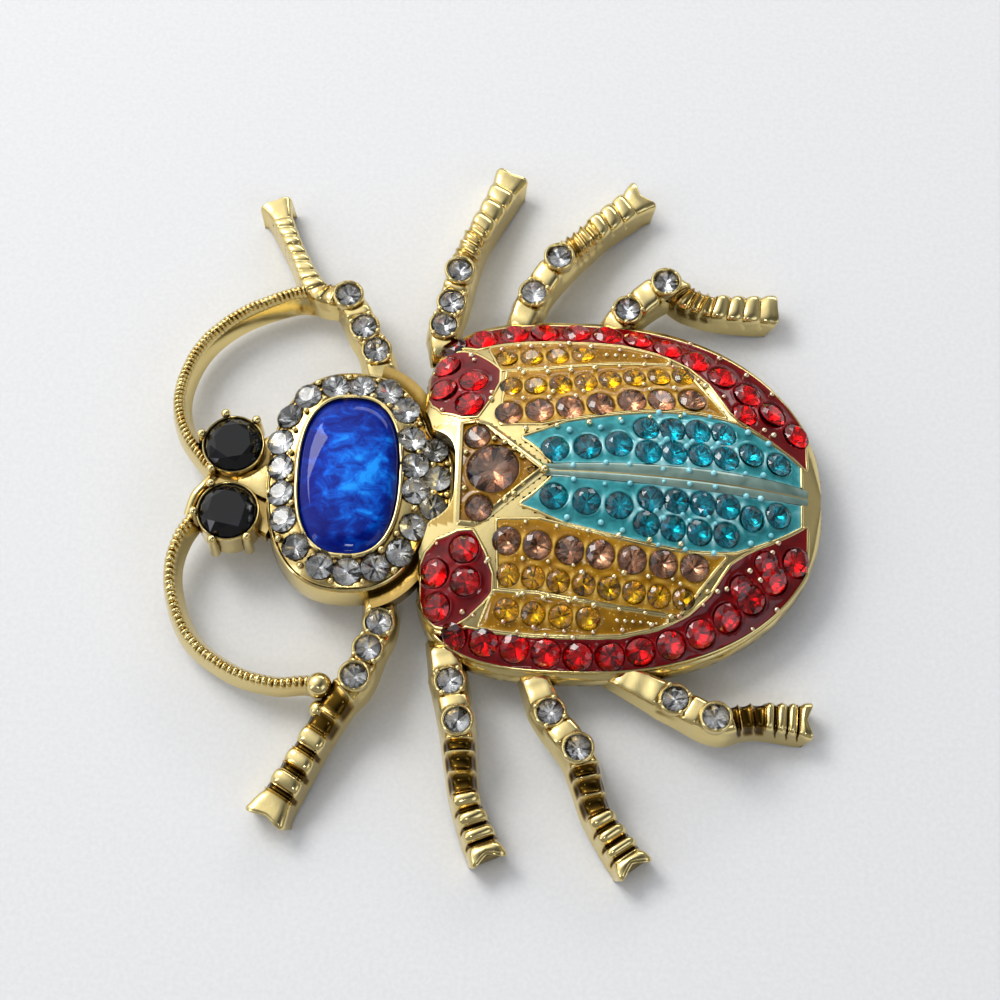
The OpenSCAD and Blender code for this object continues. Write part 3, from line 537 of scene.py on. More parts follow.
def cut_stone(crown=0.16, table=0.29, depth=0.36):
    """A round cut stone of unit width: its points, faces and marks, 0 for the crown and 1 for the foil."""
    def ring(r, z, n, first):
        return ring_of(np.radians(first + np.arange(n) * 360 / n), r, z)

    points = np.vstack([ring(table, crown, 8, 22.5), ring(0.40, crown * 0.62, 8, 0), ring(0.5, 0, 16, 0),
                        ring(0.5, -0.03, 16, 0), ring(0.13, -depth * 0.80, 8, 22.5), [[0, 0, -depth]]])
    t, m, g, h, n, c = 0, 8, 16, 32, 48, 56
    faces, marks = [tuple(range(8))], [0]
    for k in range(8):
        k1 = (k + 1) % 8
        crown_faces = [(t + k, t + (k - 1) % 8, m + k), (t + k, m + k, g + 2 * k + 1, m + k1),
                       (m + k, g + 2 * k, g + 2 * k + 1), (m + k, g + (2 * k - 1) % 16, g + 2 * k)]
        foil_faces = [(c, n + (k - 1) % 8, h + 2 * k, n + k)[::-1], (n + k, h + 2 * k + 1, h + 2 * k),
                      (n + k, h + (2 * k + 2) % 16, h + 2 * k + 1)]
        faces += crown_faces + foil_faces
        marks += [0] * 4 + [1] * 3
    for j in range(16):
        k = (j + 1) % 16
        faces.append((g + j, h + j, h + k, g + k))
        marks.append(1)
    return points, faces, marks


def set_stone(piece, place, up, d, spin, tilt=(0.0, 0.0), first_mark=0, cut=None):
    """A cut stone on its seat, turned by spin and tilted a little."""
    points, faces, marks = cut or cut_stone()
    turn = up.to_track_quat("Z", "Y").to_matrix() @ Matrix.Rotation(tilt[0], 3, "X") \
        @ Matrix.Rotation(tilt[1], 3, "Y") @ Matrix.Rotation(spin, 3, "Z")
    points = points * d @ np.array(turn).T + np.array(place)
    # Painted reflections: each facet of the foil gets its own painted brightness, from dark to bright, drawn
    # from the stone's own place and turn
    draw = np.random.default_rng(int(abs(place[0] * 91 + place[1] * 137 + spin * 53) * 100))
    shade = draw.choice([0.0, 0.35, 0.8, 1.0], len(faces), p=[0.18, 0.18, 0.26, 0.38])
    piece.add(points, faces, [m + first_mark for m in marks], smooth=False, shade=shade)


def set_inputs(tree, node, inputs):
    """Sets a node's inputs by name or number; a socket given as a value is linked."""
    for key, value in inputs.items():
        if isinstance(value, bpy.types.NodeSocket):
            tree.links.new(value, node.inputs[key])
        else:
            node.inputs[key].default_value = value


def add_node(tree, kind, settings=None, inputs=None, stops=()):
    """A node with its settings, inputs and links, and a ramp's stops of (place, hex value)."""
    node = tree.nodes.new(kind)
    for key, value in (settings or {}).items():
        setattr(node, key, value)
    set_inputs(tree, node, inputs or {})
    if stops:
        cells = node.color_ramp.elements
        while len(cells) < len(stops):
            cells.new(0.5)
        for cell, (at, colour) in zip(cells, stops):
            cell.position = at
            cell.color = hex_linear(colour)
    return node


def new_material(name):
    """A material with its tree, its surface shader and the place on the piece that patterns follow."""
    material = bpy.data.materials.new(name)
    material.use_nodes = True
    tree = material.node_tree
    tree.nodes.clear()
    shader = add_node(tree, "ShaderNodeBsdfPrincipled")
    add_node(tree, "ShaderNodeOutputMaterial", inputs={0: shader.outputs[0]})
    return material, tree, shader, add_node(tree, "ShaderNodeTexCoord").outputs["Object"]


def gold_plate(finishes):
    """Pale gold plate on cast white metal, tumbled: a bright, slightly soft mirror with faint ripples,
    darkened with painted shade in its crevices.
    """
    material, tree, shader, place = new_material("cast_gold_plate")
    # Casting ripple of about 1.2 mm, left by the mould under the plate
    ripple = add_node(tree, "ShaderNodeTexNoise", inputs={
        "Vector": place, "Scale": 1 / (1.2 * MM), "Detail": 3.0}).outputs["Fac"]
    # Tumbling marks, really some 0.05 mm, drawn at 0.12 mm so that they show
    fine = add_node(tree, "ShaderNodeTexNoise", inputs={
        "Vector": place, "Scale": 1 / (0.12 * MM), "Detail": 2.0}).outputs["Fac"]
    # Painted shade: ambient occlusion within 0.9 mm darkens the plate in crevices, corners and recesses
    hollow = add_node(tree, "ShaderNodeAmbientOcclusion", {"samples": 4}, {"Distance": 0.9 * MM})
    # The web tint darkens the plate further: brown lacquer and painted shade in the pits between the ribs,
    # painted shade in the grooves by the collar
    pit = add_node(tree, "ShaderNodeAttribute", {"attribute_name": "web"}).outputs["Fac"]
    painted_shade_and_lacquer = add_node(tree, "ShaderNodeMath", {"operation": "MULTIPLY_ADD", "use_clamp": True},
                          {0: pit, 1: -0.95, 2: hollow.outputs["AO"]}).outputs[0]
    colour = add_node(tree, "ShaderNodeValToRGB", inputs={0: painted_shade_and_lacquer}, stops=[
        (0.15, "#4E3A12"), (0.45, finishes.gold_in_shade_and_lacquer), (0.82, finishes.gold)])
    rough = add_node(tree, "ShaderNodeMapRange", inputs={
        0: ripple, 1: 0.3, 2: 0.7, 3: finishes.polish * 0.75, 4: finishes.polish * 1.3})
    soft = add_node(tree, "ShaderNodeBump", inputs={
        "Height": ripple, "Strength": 0.30, "Distance": 0.08 * MM})
    marks = add_node(tree, "ShaderNodeBump", inputs={
        "Height": fine, "Strength": 0.10, "Distance": 0.01 * MM, "Normal": soft.outputs[0]})
    set_inputs(tree, shader, {"Base Color": colour.outputs[0], "Metallic": 1.0, "Roughness": rough.outputs[0],
                              "Normal": marks.outputs[0]})
    return material


def plated_grain(name, tint):
    """Metal grain raised by a stone setter and plated: a tiny bright bead with the enamel's blush."""
    material, tree, shader, place = new_material(name)
    # Each grain takes the plate a little differently, over about 1 mm
    cloud = add_node(tree, "ShaderNodeTexNoise", inputs={"Vector": place, "Scale": 1 / (1.0 * MM)})
    colour = add_node(tree, "ShaderNodeValToRGB", inputs={0: cloud.outputs["Fac"]}, stops=[
        (0.35, tint), (0.65, "#F3EBC8")])
    set_inputs(tree, shader, {"Base Color": colour.outputs[0], "Metallic": 1.0, "Roughness": 0.22})
    return material


def cut_glass(kind):
    """Pressed and polished leaded glass: clear to its foil, with sharp facets."""
    material, tree, shader, place = new_material(f"polished_glass_{kind}")
    # Batches of stones differ a little in depth of colour, over about 6 mm
    cloud = add_node(tree, "ShaderNodeTexNoise", inputs={"Vector": place, "Scale": 1 / (6 * MM)})
    depth = add_node(tree, "ShaderNodeMapRange", inputs={
        0: cloud.outputs["Fac"], 1: 0.35, 2: 0.65, 3: 0.88, 4: 1.08})
    colour = add_node(tree, "ShaderNodeHueSaturation", inputs={
        "Value": depth.outputs[0], "Color": hex_linear(GLASS[kind][0])})
    set_inputs(tree, shader, {"Base Color": colour.outputs[0], "IOR": 1.56})
    if kind == "black":
        # Jet glass lets nothing through
        set_inputs(tree, shader, {"Roughness": 0.03, "Specular IOR Level": 0.3})
    else:
        set_inputs(tree, shader, {"Roughness": 0.0, "Transmission Weight": 1.0})
    return material


def stone_foil(kind):
    """Painted metal foil behind a stone: a tinted mirror that throws the light back out, with painted
    reflections that make some facets dark and others bright.
    """
    material, tree, shader, place = new_material(f"mirror_foil_{kind}")
    # Slight wrinkles of about 0.5 mm in the foil
    wrinkle = add_node(tree, "ShaderNodeTexNoise", inputs={"Vector": place, "Scale": 1 / (0.5 * MM)})
    bump = add_node(tree, "ShaderNodeBump", inputs={
        "Height": wrinkle.outputs["Fac"], "Strength": 0.15, "Distance": 0.02 * MM})
    # Painted reflections: each facet's colour lies between dark and bright by its glint
    glint = add_node(tree, "ShaderNodeAttribute", {"attribute_name": "glint"}).outputs["Fac"]
    bright = hex_linear(GLASS[kind][1])
    dark = tuple(c * (0.08 if kind == "clear" else 0.24) for c in bright[:3]) + (1.0,)
    facet = add_node(tree, "ShaderNodeMix", {"data_type": "RGBA"}, {0: glint, 6: dark, 7: bright})
    set_inputs(tree, shader, {"Base Color": facet.outputs[2], "Metallic": 0.85, "Roughness": 0.20,
                              "Normal": bump.outputs[0]})
    return material


def stone_materials(kind):
    """The glass and the foil of one kind of stone, made once."""
    found = [bpy.data.materials.get(n) for n in (f"polished_glass_{kind}", f"mirror_foil_{kind}")]
    return [found[0] or cut_glass(kind), found[1] or stone_foil(kind)]


def enamel(name, deep, main, pale, swirl_mm=1.6, speck=None, pearl=0.0):
    """Cold enamel, poured and cured: a glassy coat over colour that clouds with depth and by the stones."""
    material, tree, shader, place = new_material(name)
    cloud = add_node(tree, "ShaderNodeTexNoise", inputs={
        "Vector": place, "Scale": 1 / (swirl_mm * MM), "Detail": 4.0, "Distortion": 0.8})
    web = add_node(tree, "ShaderNodeAttribute", {"attribute_name": "web"}).outputs["Fac"]
    mixed = add_node(tree, "ShaderNodeMath", {"operation": "MULTIPLY_ADD"}, {
        0: cloud.outputs["Fac"], 1: 0.55, 2: web})
    colour = add_node(tree, "ShaderNodeValToRGB", inputs={0: mixed.outputs[0]}, stops=[
        (0.12, deep), (0.42, main), (0.95, pale)]).outputs[0]
    if speck:
        # Metal flakes in the enamel, about 0.1 mm, drawn at 0.16 mm so that they show
        flake = add_node(tree, "ShaderNodeTexVoronoi", inputs={"Vector": place, "Scale": 1 / (0.32 * MM)})
        spot = add_node(tree, "ShaderNodeMapRange", inputs={
            0: flake.outputs["Distance"], 1: 0.22, 2: 0.12, 3: 0.0, 4: 0.8})
        colour = add_node(tree, "ShaderNodeMix", {"data_type": "RGBA"}, {
            0: spot.outputs[0], 6: colour, 7: hex_linear(speck)}).outputs[2]
    # The face settles in waves of about 0.9 mm
    wave = add_node(tree, "ShaderNodeTexNoise", inputs={
        "Vector": place, "Scale": 1 / (0.9 * MM), "Detail": 1.0})
    bump = add_node(tree, "ShaderNodeBump", inputs={
        "Height": wave.outputs["Fac"], "Strength": 0.12, "Distance": 0.05 * MM})
    set_inputs(tree, shader, {"Base Color": colour, "Metallic": pearl, "Roughness": 0.10, "IOR": 1.5,
                              "Specular IOR Level": 0.1, "Coat Weight": 0.6, "Coat IOR": 1.45,
                              "Coat Roughness": 0.03, "Normal": bump.outputs[0]})
    return material


def marbled_blue(finishes):
    """Pearly blue enamel, crinkled as it set: navy towards the ends, azure streaks, a deep glassy coat."""
    material, tree, shader, place = new_material("marbled_blue_enamel")
    # Crinkles of some 1.3 mm lie slantwise, longer than they are wide
    slant = add_node(tree, "ShaderNodeMapping", inputs={
        "Vector": place, "Rotation": (0, 0, -0.7), "Scale": (0.7, 1.0, 1.0)})
    crinkle = add_node(tree, "ShaderNodeTexNoise", inputs={
        "Vector": slant.outputs[0], "Scale": 1 / (1.3 * MM), "Detail": 9.0, "Roughness": 0.62,
        "Distortion": 0.5}).outputs["Fac"]
    # Painted light: the oval is lighter and more azure round a point right of the middle
    lit = add_node(tree, "ShaderNodeMapping", {"vector_type": "POINT"}, {
        "Vector": place, "Location": (2.30, -0.02, 0.0), "Scale": (1 / (4.6 * MM), 1 / (7.5 * MM), 0.0)})
    away = add_node(tree, "ShaderNodeVectorMath", {"operation": "LENGTH"}, {
        0: lit.outputs[0]}).outputs["Value"]
    glow = add_node(tree, "ShaderNodeMapRange", inputs={0: away, 1: 0.15, 2: 1.0, 3: 0.17, 4: -0.06})
    mixed = add_node(tree, "ShaderNodeMath", {"operation": "ADD"}, {0: crinkle, 1: glow.outputs[0]})
    colour = add_node(tree, "ShaderNodeValToRGB", inputs={0: mixed.outputs[0]}, stops=[
        (0.40, finishes.blue_deep), (0.53, "#002C94"), (0.64, "#0056C8"), (0.77, finishes.blue_light)])
    # Darker on the shoulder towards the rim of the oval
    depth = add_node(tree, "ShaderNodeAttribute", {"attribute_name": "web"}).outputs["Fac"]
    deep = add_node(tree, "ShaderNodeMix", {"data_type": "RGBA"}, {
        0: depth, 6: colour.outputs[0], 7: hex_linear(finishes.blue_deep)})
    bump = add_node(tree, "ShaderNodeBump", inputs={
        "Height": crinkle, "Strength": 0.35, "Distance": 0.12 * MM})
    set_inputs(tree, shader, {"Base Color": deep.outputs[2], "Metallic": 0.2, "Roughness": 0.35,
                              "Specular IOR Level": 0.0, "Coat Weight": 0.6, "Coat IOR": 1.4,
                              "Coat Roughness": 0.012, "Normal": bump.outputs[0]})
    return material


def pin_steel():
    """Drawn and plated steel of a bought pin: brighter and harder than the casting, with drawing lines."""
    material, tree, shader, place = new_material("plated_pin_steel")
    # Drawing lines along the pin, some 0.1 mm apart
    lines = add_node(tree, "ShaderNodeMapping", inputs={"Vector": place, "Scale": (10.0, 0.4, 10.0)})
    grain = add_node(tree, "ShaderNodeTexNoise", inputs={
        "Vector": lines.outputs[0], "Scale": 1 / (1.0 * MM)}).outputs["Fac"]
    bump = add_node(tree, "ShaderNodeBump", inputs={
        "Height": grain, "Strength": 0.12, "Distance": 0.01 * MM})
    colour = add_node(tree, "ShaderNodeValToRGB", inputs={0: grain}, stops=[
        (0.3, "#C9B983"), (0.7, "#DACB99")])
    set_inputs(tree, shader, {"Base Color": colour.outputs[0], "Metallic": 1.0, "Roughness": 0.2,
                              "Normal": bump.outputs[0]})
    return material


def pale_paper():
    """Matt pale drawing paper under the brooch: an even, soft white with no gloss."""
    material, tree, shader, place = new_material("matt_pale_paper")
    # Paper tooth of about 0.4 mm
    tooth = add_node(tree, "ShaderNodeTexNoise", inputs={"Vector": place, "Scale": 1 / (0.4 * MM)})
    colour = add_node(tree, "ShaderNodeValToRGB", inputs={0: tooth.outputs["Fac"]}, stops=[
        (0.3, "#D3D4D6"), (0.7, "#D9DADB")])
    set_inputs(tree, shader, {"Base Color": colour.outputs[0], "Roughness": 0.9})
    return material


def gold():
    """The gold plate, made once."""
    return bpy.data.materials.get("cast_gold_plate") or gold_plate(bpy.context.scene.brooch_finishes)


def stones_of(panel, side):
    """Every stone of a panel: place, glass, diameter and the row it belongs to."""
    found = []
    for k, (row_side, row_panel, glass, d, count, points) in enumerate(STONE_ROWS):
        if row_side == side and row_panel == panel:
            found += [(x, y, glass, d, k) for x, y in even_run(points, count)]
    return found


def stone_cup(distance, d, deep=0.98):
    """How far the enamel lies under its face at a distance from a stone's middle."""
    r = d / 2
    inside = np.clip((r - distance) / (0.35 * r), 0, 1) * deep
    # The enamel climbs a little to the girdle
    climb = 0.09 * np.exp(-((distance - r) / 0.22) ** 2) * (distance >= r)
    return climb - inside


def sunk(points, place, d, drop=0.12):
    """The same points, lowered where a stone of width d stands in them."""
    far = np.hypot(points[..., 0] - place[0], points[..., 1] - place[1])
    under = place[2] - drop - 0.42 * d * np.clip((d / 2 - far) / (0.30 * d / 2), 0, 1)
    low = points[..., 2] > np.where(far < d / 2, under, np.inf)
    out = points.copy()
    out[..., 2] = np.where(low, under, out[..., 2])
    return out


class BROOCH_OT_stage(bpy.types.Operator):
    """Floor, soft lights and the camera at the photograph's angle"""

    bl_idname = "brooch.stage"
    bl_label = "Stage"

    def execute(self, context):
        shape = Shape(context.scene.brooch_sizes)
        mesh = bpy.data.meshes.new("floor")
        steps, half = 40, 5.0
        grid = np.linspace(-half, half, steps)
        points = [(x, y, -0.00002) for x in grid for y in grid]
        mesh.from_pydata(points, [], sheet_faces(steps, steps, flip=True))
        floor = bpy.data.objects.new("floor", mesh)
        mesh.materials.append(pale_paper())
        context.scene.collection.objects.link(floor)

        world = bpy.data.worlds.new("studio")
        context.scene.world = world
        world.use_nodes = True
        tree = world.node_tree
        tree.nodes.clear()
        way = add_node(tree, "ShaderNodeTexCoord").outputs["Generated"]
        up = add_node(tree, "ShaderNodeSeparateXYZ", inputs={0: way}).outputs["Z"]
        sky = add_node(tree, "ShaderNodeValToRGB", inputs={0: up}, stops=[
            (0.0, "#666666"), (0.35, "#9C9C9C"), (0.70, "#7E7F81"), (0.97, "#404144")])
        # The window side of the room, as soft as the photograph's
        toward = add_node(tree, "ShaderNodeVectorMath", {"operation": "DOT_PRODUCT"},
                          {0: way, 1: (-0.62, 0.46, 0.64)}).outputs["Value"]
        window = add_node(tree, "ShaderNodeValToRGB", inputs={0: toward}, stops=[
            (0.40, "#000000"), (0.62, "#8E9196"), (0.86, "#FFFFFF")])
        light = add_node(tree, "ShaderNodeMix", {"data_type": "RGBA", "blend_type": "ADD"},
                         {0: 1.0, 6: sky.outputs[0], 7: window.outputs[0]})
        back = add_node(tree, "ShaderNodeBackground", inputs={0: light.outputs[2], 1: 1.15})
        add_node(tree, "ShaderNodeOutputWorld", inputs={0: back.outputs[0]})

        # Key from the photograph's upper left, a low fill from the right, a rim light behind and two small
        # ones for the facets. Place, width and height are in metres, then come watts and tint.
        lights = [("key_light", (-0.27, 0.24, 0.38), 0.24, 0.20, 1.6, "#FFFDF8"),
                  ("fill_light", (0.34, -0.26, 0.30), 0.30, 0.22, 0.25, "#E8F0FF"),
                  ("rim_light", (0.12, 0.44, 0.20), 0.34, 0.10, 0.45, "#FFFFFF"),
                  ("glint_light", (-0.02, -0.31, 0.42), 0.06, 0.06, 0.16, "#FFFFFF"),
                  ("strip_light", (-0.42, -0.20, 0.20), 0.06, 0.30, 0.22, "#F4F6FF")]
        for name, at, wide, high, watts, tint in lights:
            data = bpy.data.lights.new(name, "AREA")
            data.shape, data.size, data.size_y, data.energy = "RECTANGLE", wide, high, watts
            data.color = hex_linear(tint, alpha=False)
            lamp = bpy.data.objects.new(name, data)
            lamp.location = at
            lamp.rotation_euler = (-Vector(at)).to_track_quat("-Z", "Y").to_euler()
            context.scene.collection.objects.link(lamp)

        # The photograph looks down from 22 degrees off upright, from the beetle's left, turned by 2
        # degrees. Distance and target are in millimetres.
        tilt, roll, distance, target = math.radians(22), math.radians(2), 200.0, Vector((0.65, -0.75, 4.0))
        turn = Matrix.Rotation(roll, 3, "Z")
        back_way = Vector((0, -math.sin(tilt), math.cos(tilt)))
        up_way = Vector((0, math.cos(tilt), math.sin(tilt)))
        where = turn @ (target + back_way * distance) - Vector((shape.middle_x, 0, 0))
        data = bpy.data.cameras.new("camera")
        data.lens, data.sensor_width = 84.706, 36.0
        data.clip_start, data.clip_end = 0.01, 10.0
        camera = bpy.data.objects.new("camera", data)
        axes = Matrix((turn @ Vector((1, 0, 0)), turn @ up_way, turn @ back_way)).transposed().to_4x4()
        camera.matrix_world = Matrix.Translation(where * MM) @ axes
        context.scene.collection.objects.link(camera)
        context.scene.camera = camera
        context.scene.view_settings.view_transform = "Standard"
        return {"FINISHED"}


class BROOCH_OT_body(bpy.types.Operator):
    """The hollow cast shell under the wing cases, sunk where the panels lie"""

    bl_idname = "brooch.body"
    bl_label = "Body shell"

    def execute(self, context):
        shape = Shape(context.scene.brooch_sizes)
        n, m = 150, 140
        # Depths of the shell under the panels, under the triangle's big stone, and of its inner face
        panel_bed, triangle_bed, inner_bed = 1.05, 1.5, 1.9
        # The collar's place: its gap, and the heights that the cut runs between
        collar_gap, cut_low, cut_high = 0.4, 3.6, 14.0
        angle = np.linspace(math.radians(-77), math.radians(84), n)
        x = shape.wide_x + np.where(angle < 0, shape.front_l, shape.rear_l) * np.sin(angle)
        s = np.sin(np.linspace(-math.pi / 2, math.pi / 2, m))
        grid_x, grid_s = np.meshgrid(x, s, indexing="ij")
        share = (grid_x - shape.front_x) / shape.body_l
        z = shape.dome_z(grid_x, grid_s)
        a = np.abs(grid_s)
        below = np.zeros_like(z, bool)
        for low, high, start, end, _, _ in PANEL_DATA.values():
            margin = 0.42 * shape.divider / shape.half_w(grid_x)
            lo, hi = table_at(low, share) + margin, table_at(high, share) - margin
            v = np.clip((a - lo) / np.maximum(hi - lo, 1e-6), 0, 1)
            first = start[0] + (start[1] - start[0]) * v + 0.004
            last = end[0] + (end[1] - end[0]) * v - 0.004
            below |= (a > lo) & (a < hi) & (share > first) & (share < last)
        z = np.where(below, z - panel_bed, z)
        half = shape.half_w(x)
        # Under the triangle the shell lies lower still, for its big stone
        t = (grid_x - shape.scut_x) / shape.scut_l
        reach = table_at(SCUTELLUM, np.clip(t, 0, 1)) * shape.scut_w - 0.3
        z = np.where((t > 0.03) & (t < 0.97) & (a * half[:, None] < reach), z - triangle_bed, z)
        top = np.dstack([grid_x, grid_s * half[:, None], np.maximum(z, shape.base_z + 0.15)])
        inner_half = np.maximum(half - shape.wall, 0.15)
        low_x = shape.wide_x + (x - shape.wide_x) * 0.94
        inner_z = np.maximum(shape.dome_z(grid_x, grid_s) - inner_bed, shape.base_z + 0.1)
        inner = np.dstack([np.repeat(low_x[:, None], m, 1), grid_s * inner_half[:, None], inner_z])
        # Border rings: rim, foot with its draught, inner foot
        rim, inside = border(top), border(inner)
        out = rim[:, :2] - [shape.wide_x, 0]
        out /= np.linalg.norm(out, axis=1)[:, None]
        rings = []
        # The rim is a little scalloped, as filed by hand
        k = np.arange(len(rim))
        wave = (0.5 * np.sin(0.83 * k) + 0.5 * np.sin(0.47 * k + 1))[:, None]
        for grow, level in ((0.0, None), (0.10, 3.35), (0.14, 3.0), (0.18, 2.55), (0.12, 2.42)):
            ring = rim.copy()
            ring[:, :2] += out * (grow + 0.07 * wave * (0.05 < grow < 0.16))
            if level is not None:
                ring[:, 2] = np.minimum(rim[:, 2], level)
            rings.append(ring)
        foot = inside.copy()
        foot[:, 2] = shape.base_z + 0.02
        rings += [foot, inside]
        # Painted shade: the plate of the groove before the triangle is darkened through its web tint
        groove = (grid_x < shape.scut_x - 0.1) & (a * half[:, None] < 4.6)
        piece = Cast()
        piece.add(top, sheet_faces(n, m, flip=True), tint=0.5 * groove)
        piece.add(inner, sheet_faces(n, m))
        piece.add(np.vstack(rings), sheet_faces(len(rings), len(rim), ring=True, flip=True))
        shell = piece.make(shape, "body_shell", attribute="web")
        work = bmesh.new()
        work.from_mesh(shell.data)
        bmesh.ops.remove_doubles(work, verts=work.verts, dist=1e-7)
        bmesh.ops.recalc_face_normals(work, faces=work.faces)
        work.to_mesh(shell.data)
        work.free()
        # The collar's place is cut out of the shoulders
        cutter = Piece()
        angle = np.radians(np.arange(144) * 2.5)
        tube(cutter, [ring_of(angle, shape.collar_r(angle) + collar_gap, h, shape.collar_x)
                      for h in (cut_low, cut_high)])
        tool = cutter.make(shape, "collar_cutter", [], [], "gold_plate")
        cut = shell.modifiers.new("collar_place", "BOOLEAN")
        cut.operation, cut.solver, cut.object = "DIFFERENCE", "EXACT", tool
        graph = context.evaluated_depsgraph_get()
        made = bpy.data.meshes.new_from_object(shell.evaluated_get(graph))
        shell.modifiers.clear()
        shell.data = made
        bpy.data.objects.remove(tool)
        made.set_sharp_from_angle(angle=math.radians(40))
        return {"FINISHED"}


class BROOCH_OT_lines(bpy.types.Operator):
    """Raised metal lines round every panel of the wing cases"""

    bl_idname = "brooch.lines"
    bl_label = "Panel lines"

    def execute(self, context):
        shape = Shape(context.scene.brooch_sizes)
        # Profile of a line: out from the panel's edge, and height over the dome
        profile = [(0.0, -1.15), (0.0, -0.02), (0.05, 0.07), (0.13, 0.11), (0.22, 0.09), (0.29, 0.0),
                   (0.30, -0.35)]
        for side, sign in SIDES.items():
            piece = Cast()
            for panel in PANELS:
                x, s = shape.panel_grid(panel)
                edge_x = border(x)
                loop = np.column_stack([edge_x, border(s) * shape.half_w(edge_x)])
                back, ahead = np.roll(loop, 3, 0), np.roll(loop, -3, 0)
                way = ahead - back
                way /= np.linalg.norm(way, axis=1)[:, None] + 1e-9
                out = np.column_stack([-way[:, 1], way[:, 0]])
                # Where the pearly middle strip borders the teal there is hardly a metal line
                bare = np.zeros(len(loop))
                if panel == "teal_band":
                    bare[2 * len(s[0]) + len(s) - 4:] = 1
                    bare[:2] = 1
                rings = []
                for grow, high in profile:
                    place = loop + out * (grow * (1 - 0.85 * bare[:, None]))
                    high = high - 0.10 * bare
                    share = np.clip(place[:, 1] / shape.half_w(place[:, 0]), 0, 0.995)
                    rings.append(np.column_stack([place[:, 0], sign * place[:, 1],
                                                  np.maximum(shape.dome_z(place[:, 0], share) + high,
                                                             shape.base_z + 0.2)]))
                piece.add(np.vstack(rings), sheet_faces(len(rings), len(loop), ring=True, flip=sign < 0))
            piece.make(shape, f"panel_lines_{side}", sharp=60)
        return {"FINISHED"}


class BROOCH_OT_enamel(bpy.types.Operator):
    """The poured enamel of each panel, climbing a little at every stone"""

    bl_idname = "brooch.enamel"
    bl_label = "Wing enamel"

    def execute(self, context):
        shape = Shape(context.scene.brooch_sizes)
        finishes = context.scene.brooch_finishes
        red = enamel("poured_red_enamel", "#3A0002", finishes.red, "#98060E")
        amber = enamel("poured_amber_enamel", "#6A4606", finishes.amber, "#DDB450", speck="#F0D070")
        teal = enamel("pearly_teal_enamel", "#155A62", finishes.teal, "#BFEAF0", swirl_mm=1.1, pearl=0.15)
        looks = {"shoulder_pave": red, "edge_pave": red, "amber_strip": amber, "amber_band": amber,
                 "teal_band": teal}
        slots = {"shoulder_pave": "red_enamel", "edge_pave": "red_enamel", "amber_strip": "amber_enamel",
                 "amber_band": "amber_enamel", "teal_band": "teal_enamel"}
        for side, sign in SIDES.items():
            for panel in PANELS:
                x, s = shape.panel_grid(panel, extra=0.03)
                y = sign * s * shape.half_w(x)
                lift = np.full_like(x, -0.10 if panel == "teal_band" else -0.05)
                near = np.full_like(x, 9.0)
                second = np.full_like(x, 9.0)
                for sx, sy, _, d, _ in stones_of(panel, side):
                    # Distances over the dome's slope, taken across the body at its rim
                    slope = np.abs(shape.dome_at(sx, abs(sy) * 1.02) - shape.dome_at(sx, abs(sy) * 0.98))
                    steep = math.hypot(1, float(slope) / (abs(sy) * 0.04 + 1e-6))
                    far = np.hypot(x - sx, (y - sy) * min(steep, 2.6))
                    lift += stone_cup(far, d)
                    gone = np.maximum(far - d / 2, 0)
                    second = np.minimum(second, np.maximum(near, gone))
                    near = np.minimum(near, gone)
                # Webs stand up where two stones come close
                web = np.exp(-(second / 0.42) ** 2) * np.clip(near / 0.08, 0, 1)
                # Enamel creeps up the metal lines at its border
                v = np.linspace(0, 1, x.shape[1])[None, :]
                u = np.linspace(0, 1, x.shape[0])[:, None]
                creep = np.exp(-2.0 * np.minimum(np.minimum(v, 1 - v) * 8, np.minimum(u, 1 - u) * 20))
                lift = np.where(lift > -0.2, lift + 0.10 * creep + 0.10 * web, lift)
                z = shape.dome_z(x, s) + lift
                piece = Piece()
                piece.add(np.dstack([x, y, z]), sheet_faces(*x.shape, flip=sign > 0),
                          tint=0.75 * web + 0.3 * creep)
                piece.make(shape, f"{panel}_{side}_enamel", [looks[panel]], [f"{panel}_{side}"], slots[panel],
                           attribute="web")
        return {"FINISHED"}


class BROOCH_OT_valley(bpy.types.Operator):
    """The plain grey-green strip between the two teal bands"""

    bl_idname = "brooch.valley"
    bl_label = "Middle strip"

    def execute(self, context):
        shape = Shape(context.scene.brooch_sizes)
        n, m = 120, 13
        share = np.linspace(0.30, 0.962, n)[:, None]
        x = shape.front_x + shape.body_l * share
        half = shape.half_w(x)
        across = np.linspace(-1, 1, m)[None, :]
        edge = np.maximum(table_at(RIDGE_LINE, share) + 0.16 / half, 0.22 / half)
        s = edge * across
        # Two soft ridges with a seam between them
        lift = 0.10 * (1 - (2 * np.abs(across) - 1) ** 2) - 0.16 * np.exp(-((across + 0.12) / 0.07) ** 2)
        material = enamel("pearly_grey_green_enamel", "#4E6A62", context.scene.brooch_finishes.valley,
                          "#A9C4B8", swirl_mm=2.5, pearl=0.2)
        piece = Piece()
        x = x + 0 * across
        piece.add(np.dstack([x, s * half, shape.dome_z(x, s) + lift + 0.02]), sheet_faces(n, m, flip=True))
        piece.make(shape, "middle_strip", [material], ["casting"], "teal_enamel")
        return {"FINISHED"}


